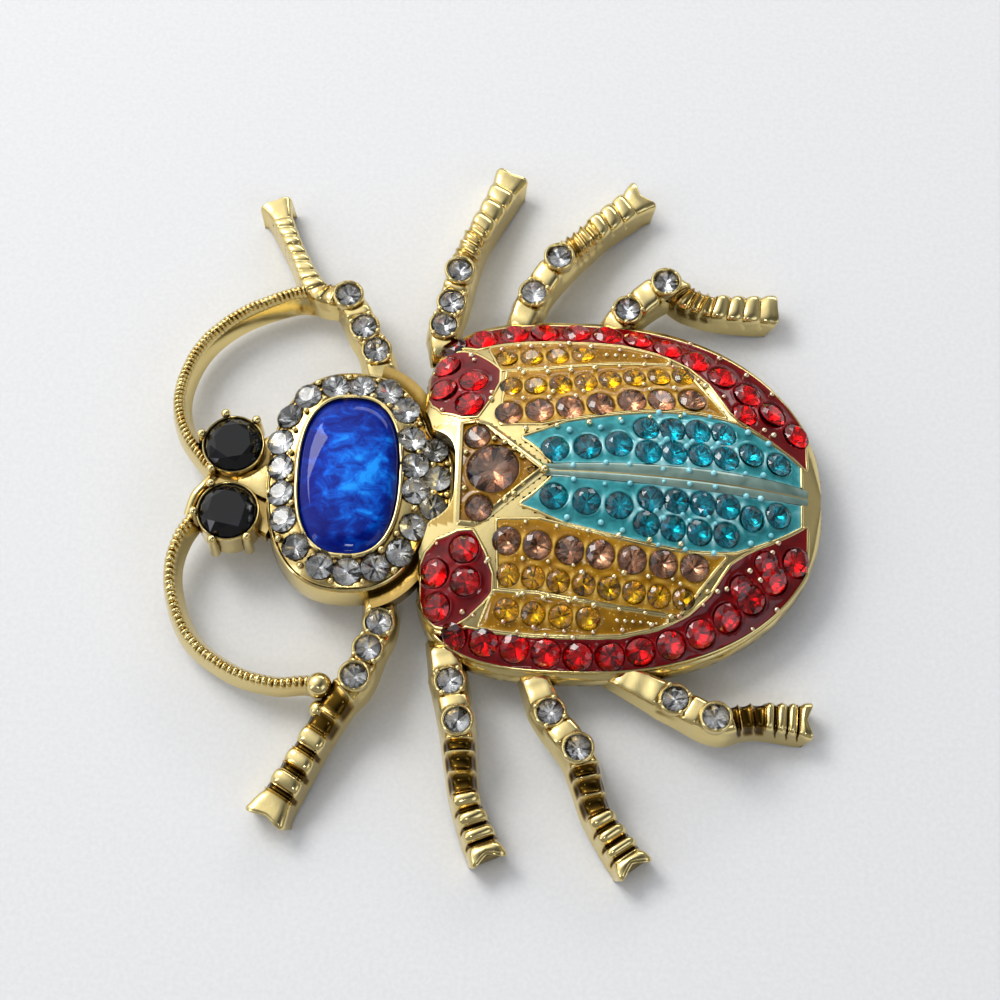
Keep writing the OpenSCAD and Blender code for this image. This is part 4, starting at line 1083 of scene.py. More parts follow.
class BROOCH_OT_wing_stones(bpy.types.Operator):
    """Cut stones of the wing cases with the metal grains that hold them"""

    bl_idname = "brooch.wing_stones"
    bl_label = "Wing stones"

    def execute(self, context):
        shape = Shape(context.scene.brooch_sizes)
        draw = np.random.default_rng(7)
        tips = {"red": plated_grain("pink_gold_grain", "#D8A88C"),
                "amber": plated_grain("cream_gold_grain", "#EBDCA4"),
                "teal": enamel("pearly_cyan_bead", "#58B4C0", "#A8E4EE", "#E8FBFF", pearl=0.1)}
        family = {"shoulder_pave": "red", "edge_pave": "red", "amber_strip": "amber", "amber_band": "amber",
                  "teal_band": "teal"}
        for side in SIDES:
            for panel in PANELS:
                stones = stones_of(panel, side)
                kinds = sorted({s[2] for s in stones})
                materials = [m for k in kinds for m in stone_materials(k)]
                piece = Piece()
                for sx, sy, glass, d, _ in stones:
                    place, up = shape.seat(shape.dome_at, sx, sy, 0.06)
                    spin, tip_x, tip_y = draw.uniform(0, 0.8), *draw.normal(0, 0.10, 2)
                    set_stone(piece, place, up, d, spin, (tip_x, tip_y), 2 * kinds.index(glass))
                slot = GLASS[kinds[0]][2] if len(kinds) == 1 else "amber_enamel"
                piece.make(shape, f"{panel}_{side}_stones", materials, [f"{panel}_{side}"], slot)
                # A grain stands on each side of the line between two close stones, where it has room
                grains = Piece()
                taken = []
                for i, a in enumerate(stones):
                    for b in stones[i + 1:]:
                        gap = math.hypot(a[0] - b[0], a[1] - b[1])
                        if gap > (a[3] + b[3]) / 2 + 0.9:
                            continue
                        mid = np.array([(a[0] + b[0]) / 2, (a[1] + b[1]) / 2])
                        cross = np.array([-(b[1] - a[1]), b[0] - a[0]]) / gap
                        for way in (-1, 1):
                            taken.append(tuple(mid + cross * way * 0.36 * (a[3] + b[3])))
                kept = []
                for t in taken:
                    clear = all(math.hypot(t[0] - s[0], t[1] - s[1]) > s[3] / 2 - 0.02 for s in stones)
                    apart = all(math.hypot(t[0] - k[0], t[1] - k[1]) > 0.7 for k in kept)
                    if clear and apart and abs(t[1]) < 0.965 * float(shape.half_w(t[0])):
                        kept.append(t)
                for t in kept:
                    place, up = shape.seat(shape.dome_at, t[0], t[1], -0.03)
                    bead(grains, place, up, shape.grain * draw.uniform(0.8, 1.25))
                for row_side, count, first, last, big, small in BEAD_ROWS:
                    if panel == "amber_strip" and row_side == side:
                        for t in np.linspace(0, 1, count):
                            bx, by = np.array(first) * (1 - t) + np.array(last) * t
                            place, up = shape.seat(shape.dome_at, bx, by, -0.04)
                            bead(grains, place, up, big + (small - big) * t)
                if grains.count:
                    grains.make(shape, f"{panel}_{side}_grains", [tips[family[panel]]],
                                [f"{panel}_{side}"], slot if family[panel] == "teal" else "gold_plate")
        return {"FINISHED"}


class BROOCH_OT_collar(bpy.types.Operator):
    """The collar's metal, its clear stones and their grains"""

    bl_idname = "brooch.collar"
    bl_label = "Collar"

    def execute(self, context):
        shape = Shape(context.scene.brooch_sizes)
        n, stone_d = 320, shape.collar_stone_d
        a = even_angles(n)
        # The outline runs soft into its lobe, as the casting's does
        inner = shape.rim_r(a)
        rounded = np.column_stack([np.roll(shape.collar_r(a), k) for k in range(-7, 8)]).mean(1)
        outer = np.maximum(rounded, shape.collar_r(a)) + 0.15
        # The lobe's corner on the left runs wider than the one on the right
        outer += 0.42 * np.exp(-((np.degrees(np.arctan2(np.sin(a), np.cos(a))) + 27) / 9) ** 2)
        wide, edge = inner + shape.oval_rim, outer - 0.40
        rim, top, low = shape.rim_top, shape.collar_top, shape.collar_top - shape.collar_fall
        # Radius and height of each line round the collar: the oval's rim, the slope that the stones
        # stand on, the outer edge, and round under it to the hollow back
        lines = [(inner + 0.02, 5.0), (inner, rim - 0.12), (inner + 0.06, rim - 0.02),
                 (inner + 0.17, rim + 0.02), (inner + 0.30, rim - 0.02), (inner + 0.38, rim - 0.14),
                 (inner + 0.42, top), (wide, top - 0.16)]
        for q in np.linspace(0.04, 1, 26):
            r = wide + (edge - wide) * q
            share = np.clip((r - wide) / (outer - wide), 0, 1)
            lines.append((r, top - shape.collar_fall * share ** 1.7 - 0.16))
        lines += [(edge + 0.04, low + 0.10), (edge + 0.12, low + 0.20), (outer - 0.22, low + 0.22),
                  (outer - 0.06, low + 0.12), (outer, low - 0.10), (outer + 0.05, 3.6), (outer + 0.16, 2.7),
                  (outer + 0.12, shape.base_z + 0.02), (outer - 1.2, shape.base_z + 0.02),
                  (outer - 1.35, 3.5), (inner + 0.5, 4.1), (inner - 0.3, 4.2)]
        rings = np.array([ring_of(a, r, z, shape.collar_x) for r, z in lines])
        draw = np.random.default_rng(11)
        stones, seats = Piece(), []
        for angle, radius in COLLAR_STONES:
            t = math.radians(angle)
            x, y = shape.collar_x + radius * math.cos(t), radius * math.sin(t)
            place, up = shape.seat(shape.collar_at, x, y, 0.06)
            up = (up + Vector((0, 0, 1))).normalized()
            set_stone(stones, place, up, stone_d, draw.uniform(0, 0.8), tuple(draw.normal(0, 0.11, 2)))
            seats.append((x, y))
            rings = sunk(rings, place, stone_d)
        piece = Cast()
        tube(piece, rings, flip=True, closed=True)
        # The groove's floor between the collar and the shoulders, darkened with painted shade through its web
        # tint
        t = np.radians(np.linspace(-78, 78, 90))
        band = [ring_of(t, shape.collar_r(t) + out, h, shape.collar_x) for out, h in
                ((-0.6, 3.4), (-0.1, 4.6), (0.25, 4.75), (1.5, 4.8), (1.5, 3.2), (-0.6, 3.2))]
        piece.add(band, sheet_faces(len(band), len(t)), tint=np.full(len(band) * len(t), 0.5))
        # The floor under the oval, seen from the back
        face = tuple(range(n))
        piece.add(ring_of(a, inner, 4.2, shape.collar_x), [face[::-1]])
        piece.add(ring_of(a, inner, 5.0, shape.collar_x), [face])
        for x, y in self.between(shape, seats):
            place, up = shape.seat(shape.collar_at, x, y, -0.08)
            bead(piece, place, up, shape.grain * draw.uniform(1.1, 1.6))
        piece.make(shape, "collar_metal", sharp=50, attribute="web")
        stones.make(shape, "collar_stones", stone_materials("clear"), ["collar_pave"], "clear_stone")
        return {"FINISHED"}

    @staticmethod
    def between(shape, seats):
        """Places of grains between neighbouring stones, towards both edges of the collar."""
        found = []
        for i, p in enumerate(seats):
            for q in seats[i + 1:]:
                gap = math.hypot(p[0] - q[0], p[1] - q[1])
                if gap > 3.1:
                    continue
                cross = np.array([-(q[1] - p[1]), q[0] - p[0]]) / gap
                middle = (np.array(p) + np.array(q)) / 2
                found += [middle + cross * way * 0.92 for way in (-1.0, 1.0, -1.35, 1.35)]
        kept = []
        for t in found:
            a, r = math.atan2(t[1], t[0] - shape.collar_x), math.hypot(t[1], t[0] - shape.collar_x)
            inside = float(shape.rim_r(a)) + 0.50 < r < float(shape.collar_r(a)) - 0.30
            clear = all(math.hypot(t[0] - s[0], t[1] - s[1]) > 1.16 for s in seats)
            if inside and clear and all(math.hypot(t[0] - k[0], t[1] - k[1]) > 0.5 for k in kept):
                kept.append(tuple(t))
        return kept


class BROOCH_OT_oval(bpy.types.Operator):
    """The blue oval: a dome of marbled enamel with a flatter top"""

    bl_idname = "brooch.oval"
    bl_label = "Blue oval"

    def execute(self, context):
        shape = Shape(context.scene.brooch_sizes)
        n = 160
        a = even_angles(n)
        r = shape.rim_r(a) - 0.02
        base = shape.rim_top - 0.30
        # Share of the radius and rise: a rounded shoulder, a soft edge, then the flatter top
        profile = [(1.0, -0.9), (1.0, 0.0), (0.985, 0.16), (0.955, 0.34), (0.91, 0.52), (0.86, 0.66),
                   (0.815, 0.755), (0.795, 0.785), (0.775, 0.80), (0.70, 0.85), (0.60, 0.91), (0.45, 0.975),
                   (0.30, 1.02), (0.15, 1.045), (0.03, 1.05)]
        rings = []
        for k, h in profile:
            ring_r = k * (r * k + shape.oval_r(a, shape.oval_l / 2, shape.oval_w / 2, 2.0) * (1 - k))
            fall = 0.22 * (ring_r * np.sin(a) / (shape.oval_w / 2)) ** 2 * (h > 0)
            rings.append(ring_of(a, ring_r, base + h - fall, shape.collar_x))
        piece = Piece()
        # Darker on the shoulder towards the rim, through the web tint
        deep = np.repeat([max(0.0, (k - 0.8) / 0.2) ** 1.5 for k, _ in profile], n)
        faces = sheet_faces(len(rings), n, ring=True) + [tuple((len(rings) - 1) * n + j for j in range(n))]
        piece.add(rings, faces, tint=0.8 * deep)
        piece.make(shape, "blue_oval", [marbled_blue(context.scene.brooch_finishes)], ["blue_enamel"],
                   "blue_enamel", attribute="web")
        return {"FINISHED"}


class BROOCH_OT_head(bpy.types.Operator):
    """Eye cups, prongs, the webs that join them to the collar, and the eye stones"""

    bl_idname = "brooch.head"
    bl_label = "Head and eyes"

    def execute(self, context):
        shape = Shape(context.scene.brooch_sizes)
        piece = Cast()
        r, top = shape.cup_d / 2, shape.cup_z
        cup = [(r - 0.55, 2.45), (r + 0.02, 2.42), (r + 0.03, 2.8), (r - 0.08, 3.6), (r - 0.05, top - 0.5),
               (r - 0.02, top - 0.12), (r - 0.05, top + 0.02), (r - 0.12, top + 0.08), (r - 0.20, top + 0.05),
               (r - 0.26, top - 0.06), (r - 0.30, top - 0.5), (r - 0.9, top - 1.5), (0.3, top - 1.6)]
        # Each prong is a tapered post with a ball on it, and stands at one of these angles round its cup
        prongs = {"right": (107, 51, 163, -126), "left": (184, -113, -53, 124)}
        post, ball_r = [(0.46, 2.5), (0.42, 4.0), (0.32, top - 0.3), (0.26, top)], 0.40
        ball = [(ball_r * math.sin(a), top + 0.10 - ball_r * math.cos(a)) for a in
                np.linspace(0.1, math.pi - 0.02, 12)]
        for side, sign in SIDES.items():
            middle = Vector((shape.eye_x, sign * shape.eye_y, 0))
            turned(piece, cup, middle, sides=64)
            for angle in prongs[side]:
                t = math.radians(angle)
                out = Vector((math.cos(t), math.sin(t), 0))
                root = middle + out * (r + 0.20)
                turned(piece, post, root, sides=14)
                turned(piece, ball, root, sides=18)
            eye = Piece()
            place = middle + Vector((0, 0, top + 0.02))
            cut = cut_stone(crown=0.17, table=0.33, depth=0.30)
            set_stone(eye, place, Vector((0, 0, 1)), shape.eye_d + 0.40, 0.2 * sign, cut=cut)
            eye.make(shape, f"eye_stone_{side}_cut", stone_materials("black"), [f"eye_stone_{side}"],
                     "black_stone")
        # Webs between the cups and the collar, and the plate that shows between the eyes
        collar_in = shape.collar_x - shape.collar_front + 0.6
        for sign in (-1, 1):
            self.bar(piece, (shape.eye_x + 1.2, sign * 2.0), (collar_in, sign * 3.4), 1.3, 1.5, 2.6, 4.3)
        self.bar(piece, (shape.eye_x + 0.6, 0), (collar_in + 0.2, 0), 0.5, 2.3, 2.6, 4.75)
        self.bar(piece, (shape.eye_x - 1.9, 0), (shape.eye_x + 1.0, 0), 1.1, 0.9, 2.6, 4.5)
        # A wire bends from the right antenna's root, between the eyes, to the left one's
        wire_r = 0.46
        bend = smooth_run([(shape.eye_x - 1.7, 0.35, 4.3), (shape.eye_x - 2.3, -0.55, 4.5),
                           (shape.eye_x - 3.0, -1.5, 4.4), (shape.eye_x - 3.5, -3.0, 3.8)], 10)
        wire = []
        for k, p in enumerate(bend):
            way = bend[min(k + 1, len(bend) - 1)] - bend[max(k - 1, 0)]
            side = np.cross(way, (0, 0, 1))
            side /= np.linalg.norm(side)
            over = np.cross(side, way / np.linalg.norm(way))
            wire.append([p + wire_r * (side * math.cos(t) + over * math.sin(t)) for t in even_angles(14)])
        tube(piece, wire)
        piece.make(shape, "head_metal", sharp=45)
        return {"FINISHED"}

    @staticmethod
    def bar(piece, start, end, wide_a, wide_b, low, high):
        """A soft-edged web from start to end, widening from wide_a to wide_b."""
        a, b = np.array(start, float), np.array(end, float)
        way = (b - a) / np.linalg.norm(b - a)
        side = np.array([-way[1], way[0]])
        rings = []
        for t in np.linspace(0, 1, 9):
            half = wide_a + (wide_b - wide_a) * t
            at = a + (b - a) * t
            ring = []
            for q, h in [(-1, low), (-1, high - 0.35), (-0.88, high - 0.08), (-0.6, high), (0.6, high),
                         (0.88, high - 0.08), (1, high - 0.35), (1, low)]:
                ring.append([*(at + side * half * q), h])
            rings.append(ring)
        tube(piece, rings)


class BROOCH_OT_legs(bpy.types.Operator):
    """Eight cast legs with draughted walls, stone cups and ribs, and the stones in them"""

    bl_idname = "brooch.legs"
    bl_label = "Legs"

    def execute(self, context):
        shape = Shape(context.scene.brooch_sizes)
        # A stone's girdle stands by seat over the leg's top
        seat, d = 0.15, shape.leg_stone_d
        r = d / 2
        draw = np.random.default_rng(3)
        for leg in LEGS:
            name, side, root, _, stone_rows = leg
            rows = shape.leg_rows(leg)
            run = even_run(rows, 260)
            s = run_lengths(run)
            stops = [s[np.argmin(np.hypot(*(run[:, :2] - rows[k][:2]).T))] for k in stone_rows]
            ribs, deep, flare, notch = LEG_ENDS[name]
            # The ribs start behind the knee's cup. Their pits are darkened with brown lacquer and painted
            # shade, deep pits more
            at = stops[-1] + 1.35
            span = s[-1] - at
            pit_lacquer_and_shade = 1.0 if deep > 0.39 else 0.35
            rise, pits = np.zeros(len(s)), np.zeros(len(s))
            for kind, share in ribs:
                end = at + share * span
                inside = (s >= at) & (s <= end)
                u = 2 * (s[inside] - at) / max(end - at, 1e-6) - 1
                if kind == "saddle":
                    rise[inside] = -deep * np.maximum(0, 1 - np.abs(u) ** 2.6) ** 0.8 + 0.08
                    pits[inside] = pit_lacquer_and_shade * np.maximum(0, 1 - np.abs(u) ** 3)
                elif kind == "cushion":
                    rise[inside] = 0.8 * deep * (np.maximum(0, 1 - u ** 2) ** 0.6 - 0.70)
                else:
                    swell = np.sin(np.clip(0.8 + 0.8 * u, 0, 1) * math.pi / 2)
                    rise[inside] = 0.8 * deep * (0.95 * swell - 0.70)
                at = end
            # Between the stones the top carries square cushions, and dips round each stone's cup
            for stop in stops:
                rise -= 0.30 * np.exp(-(np.abs(s - stop) / 1.15) ** 6)
            foot = ribs[-1][1] * span * 1.4
            last = np.clip((s - (s[-1] - foot)) / foot, 0, 1)
            way, across = run_ways(run)
            # The root is slim and dips under the rim of the wing cases
            run[:, 2] -= (1.0 if root > 0 else 0.2) * np.clip(1 - s / 1.7, 0, 1) ** 2
            run[:, 4] *= 1 - 0.30 * np.clip(1 - s / max(stops[0] - 0.9, 0.5), 0, 1) ** 0.7
            rings = self.sections(run, way, across, rise, last, flare, notch, 0.28 if side > 0 else 0.06)
            rings = self.foot_end(rings, way[-1])
            for row in stone_rows:
                rings = sunk(rings, (*rows[row][:2], rows[row][2] + seat), 2.3, drop=0.3)
            piece = Cast()
            m = rings.shape[1]
            pit = np.concatenate([pits, np.zeros(len(rings) - len(pits))])
            z = rings[:, :, 2]
            top = np.clip((z - z[:, :1]) / (np.ptp(z, axis=1)[:, None] + 1e-6), 0, 1)
            faces = sheet_faces(len(rings), m, ring=True, flip=side < 0)
            faces.append(tuple(range(m)) if side < 0 else tuple(range(m))[::-1])
            # Lacquer and painted shade: the pits darken the top half of the leg through its web tint
            piece.add(rings, faces, tint=pit[:, None] * (top > 0.5))
            for k, row in enumerate(stone_rows):
                # The cup at the knee stands up round its stone, and the others have a grain at each corner
                place, full = rows[row], row == stone_rows[-1]
                z = place[2] + seat
                rim = 0.16 if full else 0.02
                cup = [(r + 0.10, z - 1.7), (r + 0.28, z - 0.5), (r + 0.32, z - 0.10 + rim),
                       (r + 0.27, z + rim), (r + 0.16, z + 0.06 + rim), (r + 0.04, z - 0.02 + rim),
                       (r + 0.01, z - 0.3), (r * 0.6, z - 1.0), (0.1, z - 1.1)]
                turned(piece, cup, (*place[:2], 0), sides=44)
                if not full:
                    self.cushions(piece, rows, row, z, r)
                up = Vector((draw.normal(0, 0.04), draw.normal(0, 0.04), 1)).normalized()
                stone = Piece()
                set_stone(stone, Vector((*place[:2], z - 0.02)), up, d, draw.uniform(0, 0.8))
                stone.make(shape, f"{name}_stone_{k + 1}_cut", stone_materials("clear"),
                           [f"{name}_stone_{k + 1}"], "clear_stone")
            piece.make(shape, f"{name}_metal", sharp=55, attribute="web")
        return {"FINISHED"}

    @staticmethod
    def sections(run, way, across, rise, last, flare, notch, slant):
        """Rings of a leg: a draughted foot, upright cheeks and a rounded top that carries the ribs."""
        arc = np.linspace(0, math.pi, 17)
        outline = [(-1.22, 0.0, 0.0), (-1.13, 0.25, 0.0), (-1.05, 0.5, 0.25)]
        outline += [(-np.sign(math.cos(t)) * abs(math.cos(t)) ** 0.6, 0.62 + 0.38 * math.sin(t) ** 0.6,
                     0.45 + 0.55 * math.sin(t) ** 0.5) for t in arc]
        outline += [(1.05, 0.5, 0.25), (1.13, 0.25, 0.0), (1.22, 0.0, 0.0)]
        # Places across, up and on the ribbed top, one row for all the rings
        side, up, ribbed = np.array(outline).T[:, None, :]
        rise, last = rise[:, None], last[:, None]
        half = 0.46 * run[:, 4:5] * (1 + flare * last ** 2)
        far = np.abs(side)
        wide = np.sign(side) * (np.minimum(far, 1) + np.maximum(far - 1, 0) * (1 - 0.8 * last))
        out = half * wide * (1 + 0.60 * rise * ribbed / half)
        # The foot ends in two points with a hollow between them, and is undercut
        ahead = last ** 3 * (notch * (far ** 1.3 - 0.55) - 0.9 * (1 - up)
                             - 0.9 * np.clip(far - 0.72, 0, 0.6) ** 1.5)
        ahead = ahead + slant * side * (up > 0.55) * (1 - last)
        x = run[:, 0:1] + across[:, 0:1] * out + way[:, 0:1] * ahead
        y = run[:, 1:2] + across[:, 1:2] * out + way[:, 1:2] * ahead
        z = run[:, 3:4] + (run[:, 2:3] - run[:, 3:4]) * up + rise * ribbed * (up > 0.55)
        # The mould was worked by hand, so the top isn't quite even
        s = np.arange(len(run))[:, None] * 0.075
        z = z + 0.05 * np.sin(2.3 * s + 2 * side) * np.sin(1.1 * s - side) * ribbed
        return np.dstack([x, y, z])

    @staticmethod
    def foot_end(rings, way):
        """The foot's rounded lip and the hollow inside it, closed to a point."""
        last = rings[-1]
        middle = last.mean(0)
        ahead = np.array([way[0], way[1], 0])
        # Share of the foot's size, and how far ahead of it
        lip = ((0.985, 0.10), (0.94, 0.17), (0.86, 0.18), (0.76, 0.08), (0.60, -0.15), (0.35, -0.38),
               (0.04, -0.48))
        return np.vstack([rings, [middle + (last - middle) * k + ahead * g for k, g in lip]])

    @staticmethod
    def cushions(piece, rows, row, z, r):
        """Small bright grains at the four corners of a stone that has no full cup."""
        place = np.array(rows[row][:2])
        way = np.array(rows[row + 1][:2]) - np.array(rows[row - 1][:2])
        way /= np.linalg.norm(way)
        cross = np.array([-way[1], way[0]])
        for a, b in ((0.78, 0.72), (0.78, -0.72), (-0.78, 0.72), (-0.78, -0.72)):
            at = place + (way * a + cross * b) * (r + 0.14)
            bead(piece, (at[0], at[1], z - 0.12), (0, 0, 1), 0.5, rows=6, sides=12)


class BROOCH_OT_antennae(bpy.types.Operator):
    """Two looped antennae: a twisted one on the right and a threaded one on the left"""

    bl_idname = "brooch.antennae"
    bl_label = "Antennae"

    def execute(self, context):
        shape = Shape(context.scene.brooch_sizes)
        # Each antenna's leg, its bow, its twist in turns round the rope, its lay and its wall's lean
        data = (("right", LEGS[0], 6.9, ANTENNA_RIGHT, 0.9, 0.88, 1.0),
                ("left", LEGS[1], 7.6, ANTENNA_LEFT, 0.12, 1.06, 0.3))
        for name, leg, bow, table, twist, lay, lean in data:
            side = leg[1]
            knee = shape.leg_rows(leg)[4]
            start = np.array([shape.eye_x - 1.8, side * 1.2])
            way = np.array(knee[:2]) - start
            out = np.array([-abs(way[1]), side * way[0]]) / np.linalg.norm(way)
            rows = [(*(start + way * r[0] + out * bow * r[1]), r[2] * shape.knee_z,
                     r[2] * shape.knee_z - shape.antenna_h, shape.antenna_w) for r in table]
            run = even_run(rows, 520)
            s = run_lengths(run)[:, None]
            across = run_ways(run)[1]
            arc = np.linspace(0, math.pi, 15)
            outline = [(-1.30, 0.0, 0.0, 0.0), (-1.15, 0.35, 0.0, 0.0), (-0.95, 0.62, 0.0, 0.0)]
            outline += [(-math.cos(t) * 0.84, 0.72 + 0.28 * math.sin(t), math.sin(t) ** 0.3, t / math.pi)
                        for t in arc]
            outline += [(0.95, 0.62, 0.0, 0.0), (1.15, 0.35, 0.0, 0.0), (1.30, 0.0, 0.0, 0.0)]
            # Places across, up, on the rope and round it, one row for all the rings
            aside, up, roped, round_it = np.array(outline).T[:, None, :]
            phase = s / shape.thread / lay + twist * round_it
            # Worn and filled in places, as the cast rope is
            worn = 0.85 + 0.30 * np.sin(1.9 * s) * np.sin(0.83 * s + 2 * aside)
            ridge = 0.30 * (np.abs(np.cos(math.pi * phase)) ** 0.8 - 0.5) * worn * roped
            ridge *= np.clip(s / 0.8, 0, 1)
            # The wall on the inside of the bow leans out towards the leg
            inner = (np.sign(aside) == -side) * np.clip((np.abs(aside) - 0.84) / 0.46, 0, 1)
            wide = (shape.antenna_w / 2 + 0.6 * ridge) * aside
            wide *= 1 + inner * (0.30 + lean * (s / s[-1]) ** 3)
            x = run[:, 0:1] + across[:, 0:1] * wide
            y = run[:, 1:2] + across[:, 1:2] * wide
            z = run[:, 3:4] + shape.antenna_h * up + ridge
            piece = Cast()
            tube(piece, np.dstack([x, y, z]))
            if name == "left":
                # The polished ball where the threaded antenna meets the leg, and the lump below it
                bx, by = run[-36, :2]
                for r, level, aft in ((1.08, 4.1, 0.0), (0.75, 3.4, -1.85)):
                    ball = [(r * math.sin(t), level - r * math.cos(t)) for t in
                            np.linspace(0.05, math.pi - 0.05, 20)]
                    turned(piece, ball, (bx, by + aft, 0), sides=32)
            piece.make(shape, f"antenna_{name}", sharp=70)
        return {"FINISHED"}


class BROOCH_OT_scutellum(bpy.types.Operator):
    """The triangle behind the collar: raised rim, amber enamel, three stones and a row of grains"""

    bl_idname = "brooch.scutellum"
    bl_label = "Scutellum"

    def execute(self, context):
        shape = Shape(context.scene.brooch_sizes)
        n, m = 110, 81
        t = np.linspace(0, 0.995, n)[:, None]
        across = np.linspace(-1, 1, m)[None, :]
        x = shape.scut_x + t * shape.scut_l + 0 * across
        half = table_at(SCUTELLUM, t) * shape.scut_w
        y = half * across
        edge = half * (1 - np.abs(across))
        rear = np.clip((t - 0.16) / 0.1, 0, 1)
        rim_w = 0.35 + 0.45 * rear
        lip = np.clip(edge / rim_w, 0, 1)
        front = np.clip(t * shape.scut_l / 0.35, 0, 1)
        fill = np.clip(np.minimum((edge - rim_w) / 0.18, (t * shape.scut_l - 0.3) / 0.18), 0, 1)
        rise = 0.06 + 0.26 * np.sin(lip * math.pi / 2) * front - 0.75 * fill
        top = np.dstack([x, y, shape.dome_at(x, y) + rise])
        low = np.dstack([x, y, shape.dome_at(x, y) - 1.9])
        # Place and width of its three smoky stones, the large one in the middle
        stones = [(-1.35, 3.15, 2.25), (0.05, 0.10, 4.4), (-1.0, -3.35, 2.35)]
        for sx, sy, d in stones:
            top = sunk(top, (sx, sy, float(shape.dome_at(sx, sy)) + 0.1), d)
        piece = Cast()
        piece.add(top, sheet_faces(n, m, flip=True))
        edges = [border(top), border(low)]
        piece.add(edges, sheet_faces(2, len(edges[0]), ring=True, flip=True))
        beads = [(0.1, 2.8), (1.0, 2.4), (1.8, 1.8), (2.5, 1.1), (1.2, -2.7), (1.9, -2.2), (2.6, -1.3),
                 (-2.2, 1.6), (-2.2, -1.6)]
        for bx, by in beads:
            place, up = shape.seat(shape.dome_at, bx, by, 0.06)
            bead(piece, place, up, 0.55, rows=6, sides=12)
        place, up = shape.seat(shape.dome_at, 3.25, -0.05, 0.05)
        ringlet = [(0.20, -0.1), (0.22, 0.10), (0.32, 0.20), (0.42, 0.10), (0.44, -0.3)]
        turned(piece, ringlet, place, up, sides=24)
        place, up = shape.seat(shape.dome_at, 4.35, -0.1, 0.1)
        bead(piece, place, up, 0.8, rows=8, sides=18)
        piece.make(shape, "scutellum_metal", sharp=60)
        amber = bpy.data.materials["poured_amber_enamel"]
        skin = Piece()
        lift = np.full_like(x, 0.02)
        for sx, sy, d in stones:
            lift += stone_cup(np.hypot(x - sx, y - sy), d, 0.44 * d)
        skin.add(np.dstack([x, y * 0.96, shape.dome_at(x, y) + lift]), sheet_faces(n, m, flip=True))
        skin.make(shape, "scutellum_enamel", [amber], ["scutellum_pave"], "amber_enamel", attribute="web")
        cut = cut_stone(crown=0.17, table=0.30, depth=0.32)
        for k, (sx, sy, d) in enumerate(stones):
            place, up = shape.seat(shape.dome_at, sx, sy, 0.14 if d > 3 else 0.10)
            stone = Piece()
            set_stone(stone, place, up, d, 0.3 + k, cut=cut)
            node = "scutellum_stone" if d > 3 else "scutellum_pave"
            stone.make(shape, f"scutellum_stone_{k + 1}_cut", stone_materials("smoky"), [node],
                       "peach_stone")
        return {"FINISHED"}


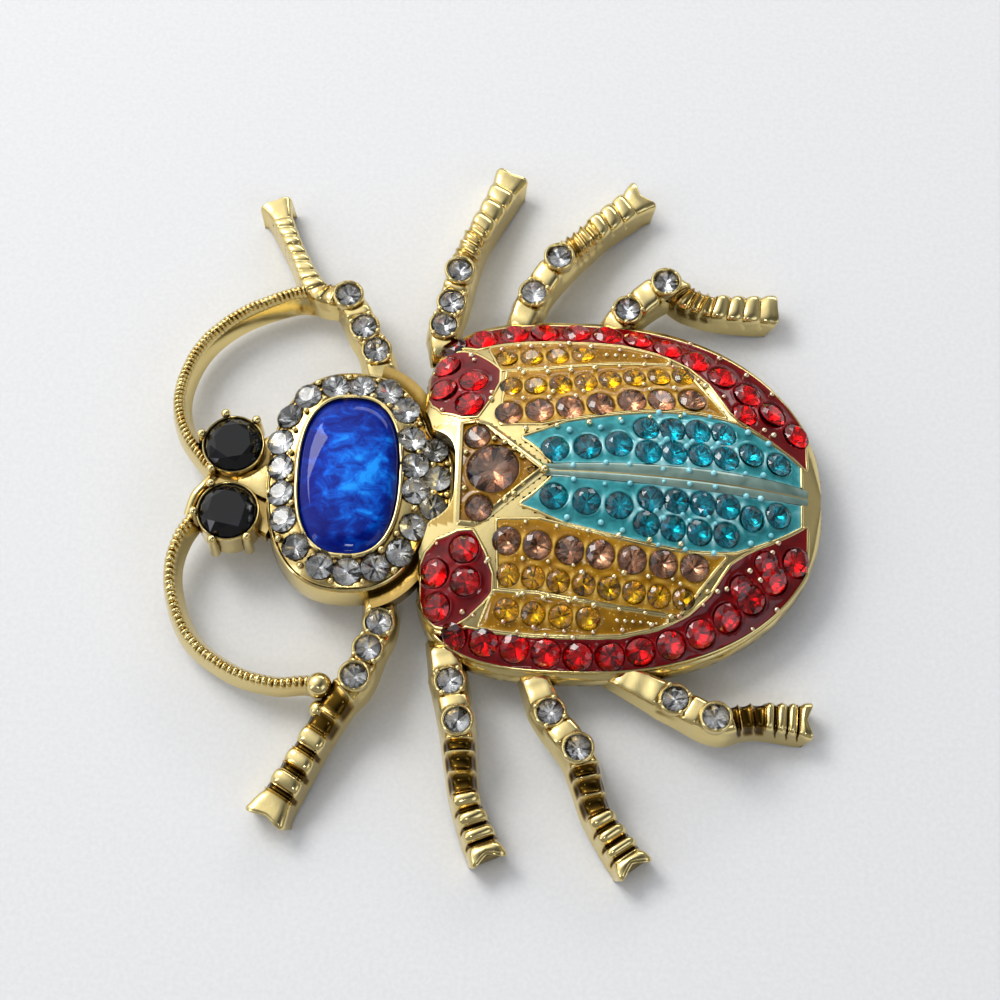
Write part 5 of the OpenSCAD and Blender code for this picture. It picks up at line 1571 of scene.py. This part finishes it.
class BROOCH_OT_pin(bpy.types.Operator):
    """The bar pin on the hollow back, with its hinge, catch and the pads that carry it"""

    bl_idname = "brooch.pin"
    bl_label = "Pin"

    def execute(self, context):
        shape = Shape(context.scene.brooch_sizes)
        piece = Piece()
        # Half the bar's length, and the heights of the stem's and the bar's middle
        px, end, stem_z, bar_z = shape.pin_x, 11.0, 1.2, 3.2
        # The hinge's rivet lies this far along the bar
        hinge_y = end - 1.2

        def rod(points, r, sides=20):
            p, a, rings = np.array(points, float), even_angles(sides), []
            for at, way, radius in zip(p, np.gradient(p, axis=0), np.broadcast_to(r, len(p))):
                turn = np.array(Vector(way).normalized().to_track_quat("Z", "X").to_matrix())
                rings.append(ring_of(a, radius, 0.0) @ turn.T + at)
            tube(piece, rings)

        # Bar with rounded ends and two pressed ribs
        rings = []
        for t in np.linspace(-1, 1, 61):
            half = 1.55 * math.sqrt(max(0.02, 1 - max(0, abs(t) - 0.90) ** 2 / 0.0105))
            rib = 0.10 if abs(abs(t) - 0.45) < 0.2 else 0.0
            ring = [(px + q * half, t * end, h + (rib if abs(q) < 0.3 else 0)) for q, h in
                    [(-1, bar_z - 0.25), (-0.9, bar_z - 0.35), (-0.25, bar_z - 0.38), (0.25, bar_z - 0.38),
                     (0.9, bar_z - 0.35), (1, bar_z - 0.25), (1, bar_z + 0.2), (0.9, bar_z + 0.28),
                     (-0.9, bar_z + 0.28), (-1, bar_z + 0.2)]]
            rings.append(ring)
        tube(piece, rings)
        # Hinge: two ears and the coil round their rivet
        for side in (-1, 1):
            ear = []
            for x in (px + side * 0.75, px + side * 1.1):
                arch = [(x, hinge_y + 0.95 * math.cos(a), stem_z - 0.85 * math.sin(a) ** 0.8)
                        for a in np.linspace(0, math.pi, 15)]
                ear.append(arch + [(x, end - 2.2, bar_z - 0.2), (x, end - 0.2, bar_z - 0.2)])
            tube(piece, ear, flip=side > 0)
        rod([(px + x, hinge_y, stem_z) for x in np.linspace(-1.15, 1.15, 6)], 0.38)
        for x in np.linspace(-0.5, 0.5, 3):
            rod([(px + x, hinge_y + 0.5 * math.cos(t), stem_z + 0.5 * math.sin(t))
                 for t in np.linspace(0, 2 * math.pi, 25)], 0.2, 10)
        # Stem, drawn to a point past the catch
        y = np.concatenate([np.linspace(hinge_y, -end + 0.2, 24), np.linspace(-end - 0.1, -end - 1.15, 5)])
        thick = np.concatenate([np.full(24, 0.39), np.linspace(0.34, 0.08, 5)])
        rod([(px, t, stem_z) for t in y], thick)
        # Catch: a hook rolled from strip, open to one side
        rings = []
        for a in np.radians(np.linspace(100, 420, 28)):
            c, s = math.cos(a), math.sin(a)
            rings.append([(px + r * c, yy, stem_z + r * s) for r, yy in
                          ((0.85, -end + 1.9), (0.85, -end + 0.1), (0.58, -end + 0.1), (0.58, -end + 1.9))])
        tube(piece, rings)
        post = [[(px - 0.6, -end + 0.2, z), (px + 0.1, -end + 0.2, z), (px + 0.1, -end + 1.8, z),
                 (px - 0.6, -end + 1.8, z)] for z in (stem_z + 0.75, bar_z - 0.2)]
        tube(piece, post)
        piece.make(shape, "pin", [pin_steel()], ["pin_finding"], "gold_plate", sharp=40)
        # Two pads of the casting carry the bar
        pads = Cast()
        for sign in (-1, 1):
            y0 = sign * 0.72 * end
            rings = []
            for z, grow in ((3.52, 0.0), (3.6, 0.12), (4.4, 0.15), (5.6, 0.25), (6.6, 0.5)):
                w, h = 1.35 + grow, 1.3 + grow
                rings.append([(px + w * cx, y0 + h * cy, z) for cx, cy in
                              ((1, 0.7), (0.7, 1), (-0.7, 1), (-1, 0.7), (-1, -0.7), (-0.7, -1), (0.7, -1),
                               (1, -0.7))])
            tube(pads, rings)
        pads.make(shape, "pin_pads", sharp=40)
        return {"FINISHED"}


STEPS = (BROOCH_OT_stage, BROOCH_OT_body, BROOCH_OT_lines, BROOCH_OT_enamel, BROOCH_OT_valley,
         BROOCH_OT_wing_stones, BROOCH_OT_collar, BROOCH_OT_oval, BROOCH_OT_head, BROOCH_OT_legs,
         BROOCH_OT_antennae, BROOCH_OT_scutellum, BROOCH_OT_pin)


class BROOCH_PT_panel(bpy.types.Panel):
    """Sizes, colours and the steps that build the brooch"""

    bl_label = "Insect Brooch"
    bl_idname = "BROOCH_PT_panel"
    bl_space_type = "VIEW_3D"
    bl_region_type = "UI"
    bl_category = "Brooch"

    def draw(self, context):
        for group in (context.scene.brooch_sizes, context.scene.brooch_finishes):
            for key in group.__annotations__:
                self.layout.prop(group, key)
        for step in STEPS:
            self.layout.operator(step.bl_idname)


CLASSES = (BroochSizes, BroochFinishes, *STEPS, BROOCH_PT_panel)


def register():
    for c in CLASSES:
        bpy.utils.register_class(c)
    bpy.types.Scene.brooch_sizes = PointerProperty(type=BroochSizes)
    bpy.types.Scene.brooch_finishes = PointerProperty(type=BroochFinishes)


def unregister():
    del bpy.types.Scene.brooch_sizes
    del bpy.types.Scene.brooch_finishes
    for c in reversed(CLASSES):
        bpy.utils.unregister_class(c)


def main():
    register()
    for step in STEPS:
        getattr(bpy.ops.brooch, step.bl_idname.split(".")[1])()
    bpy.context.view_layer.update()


if __name__ == "__main__":
    main()
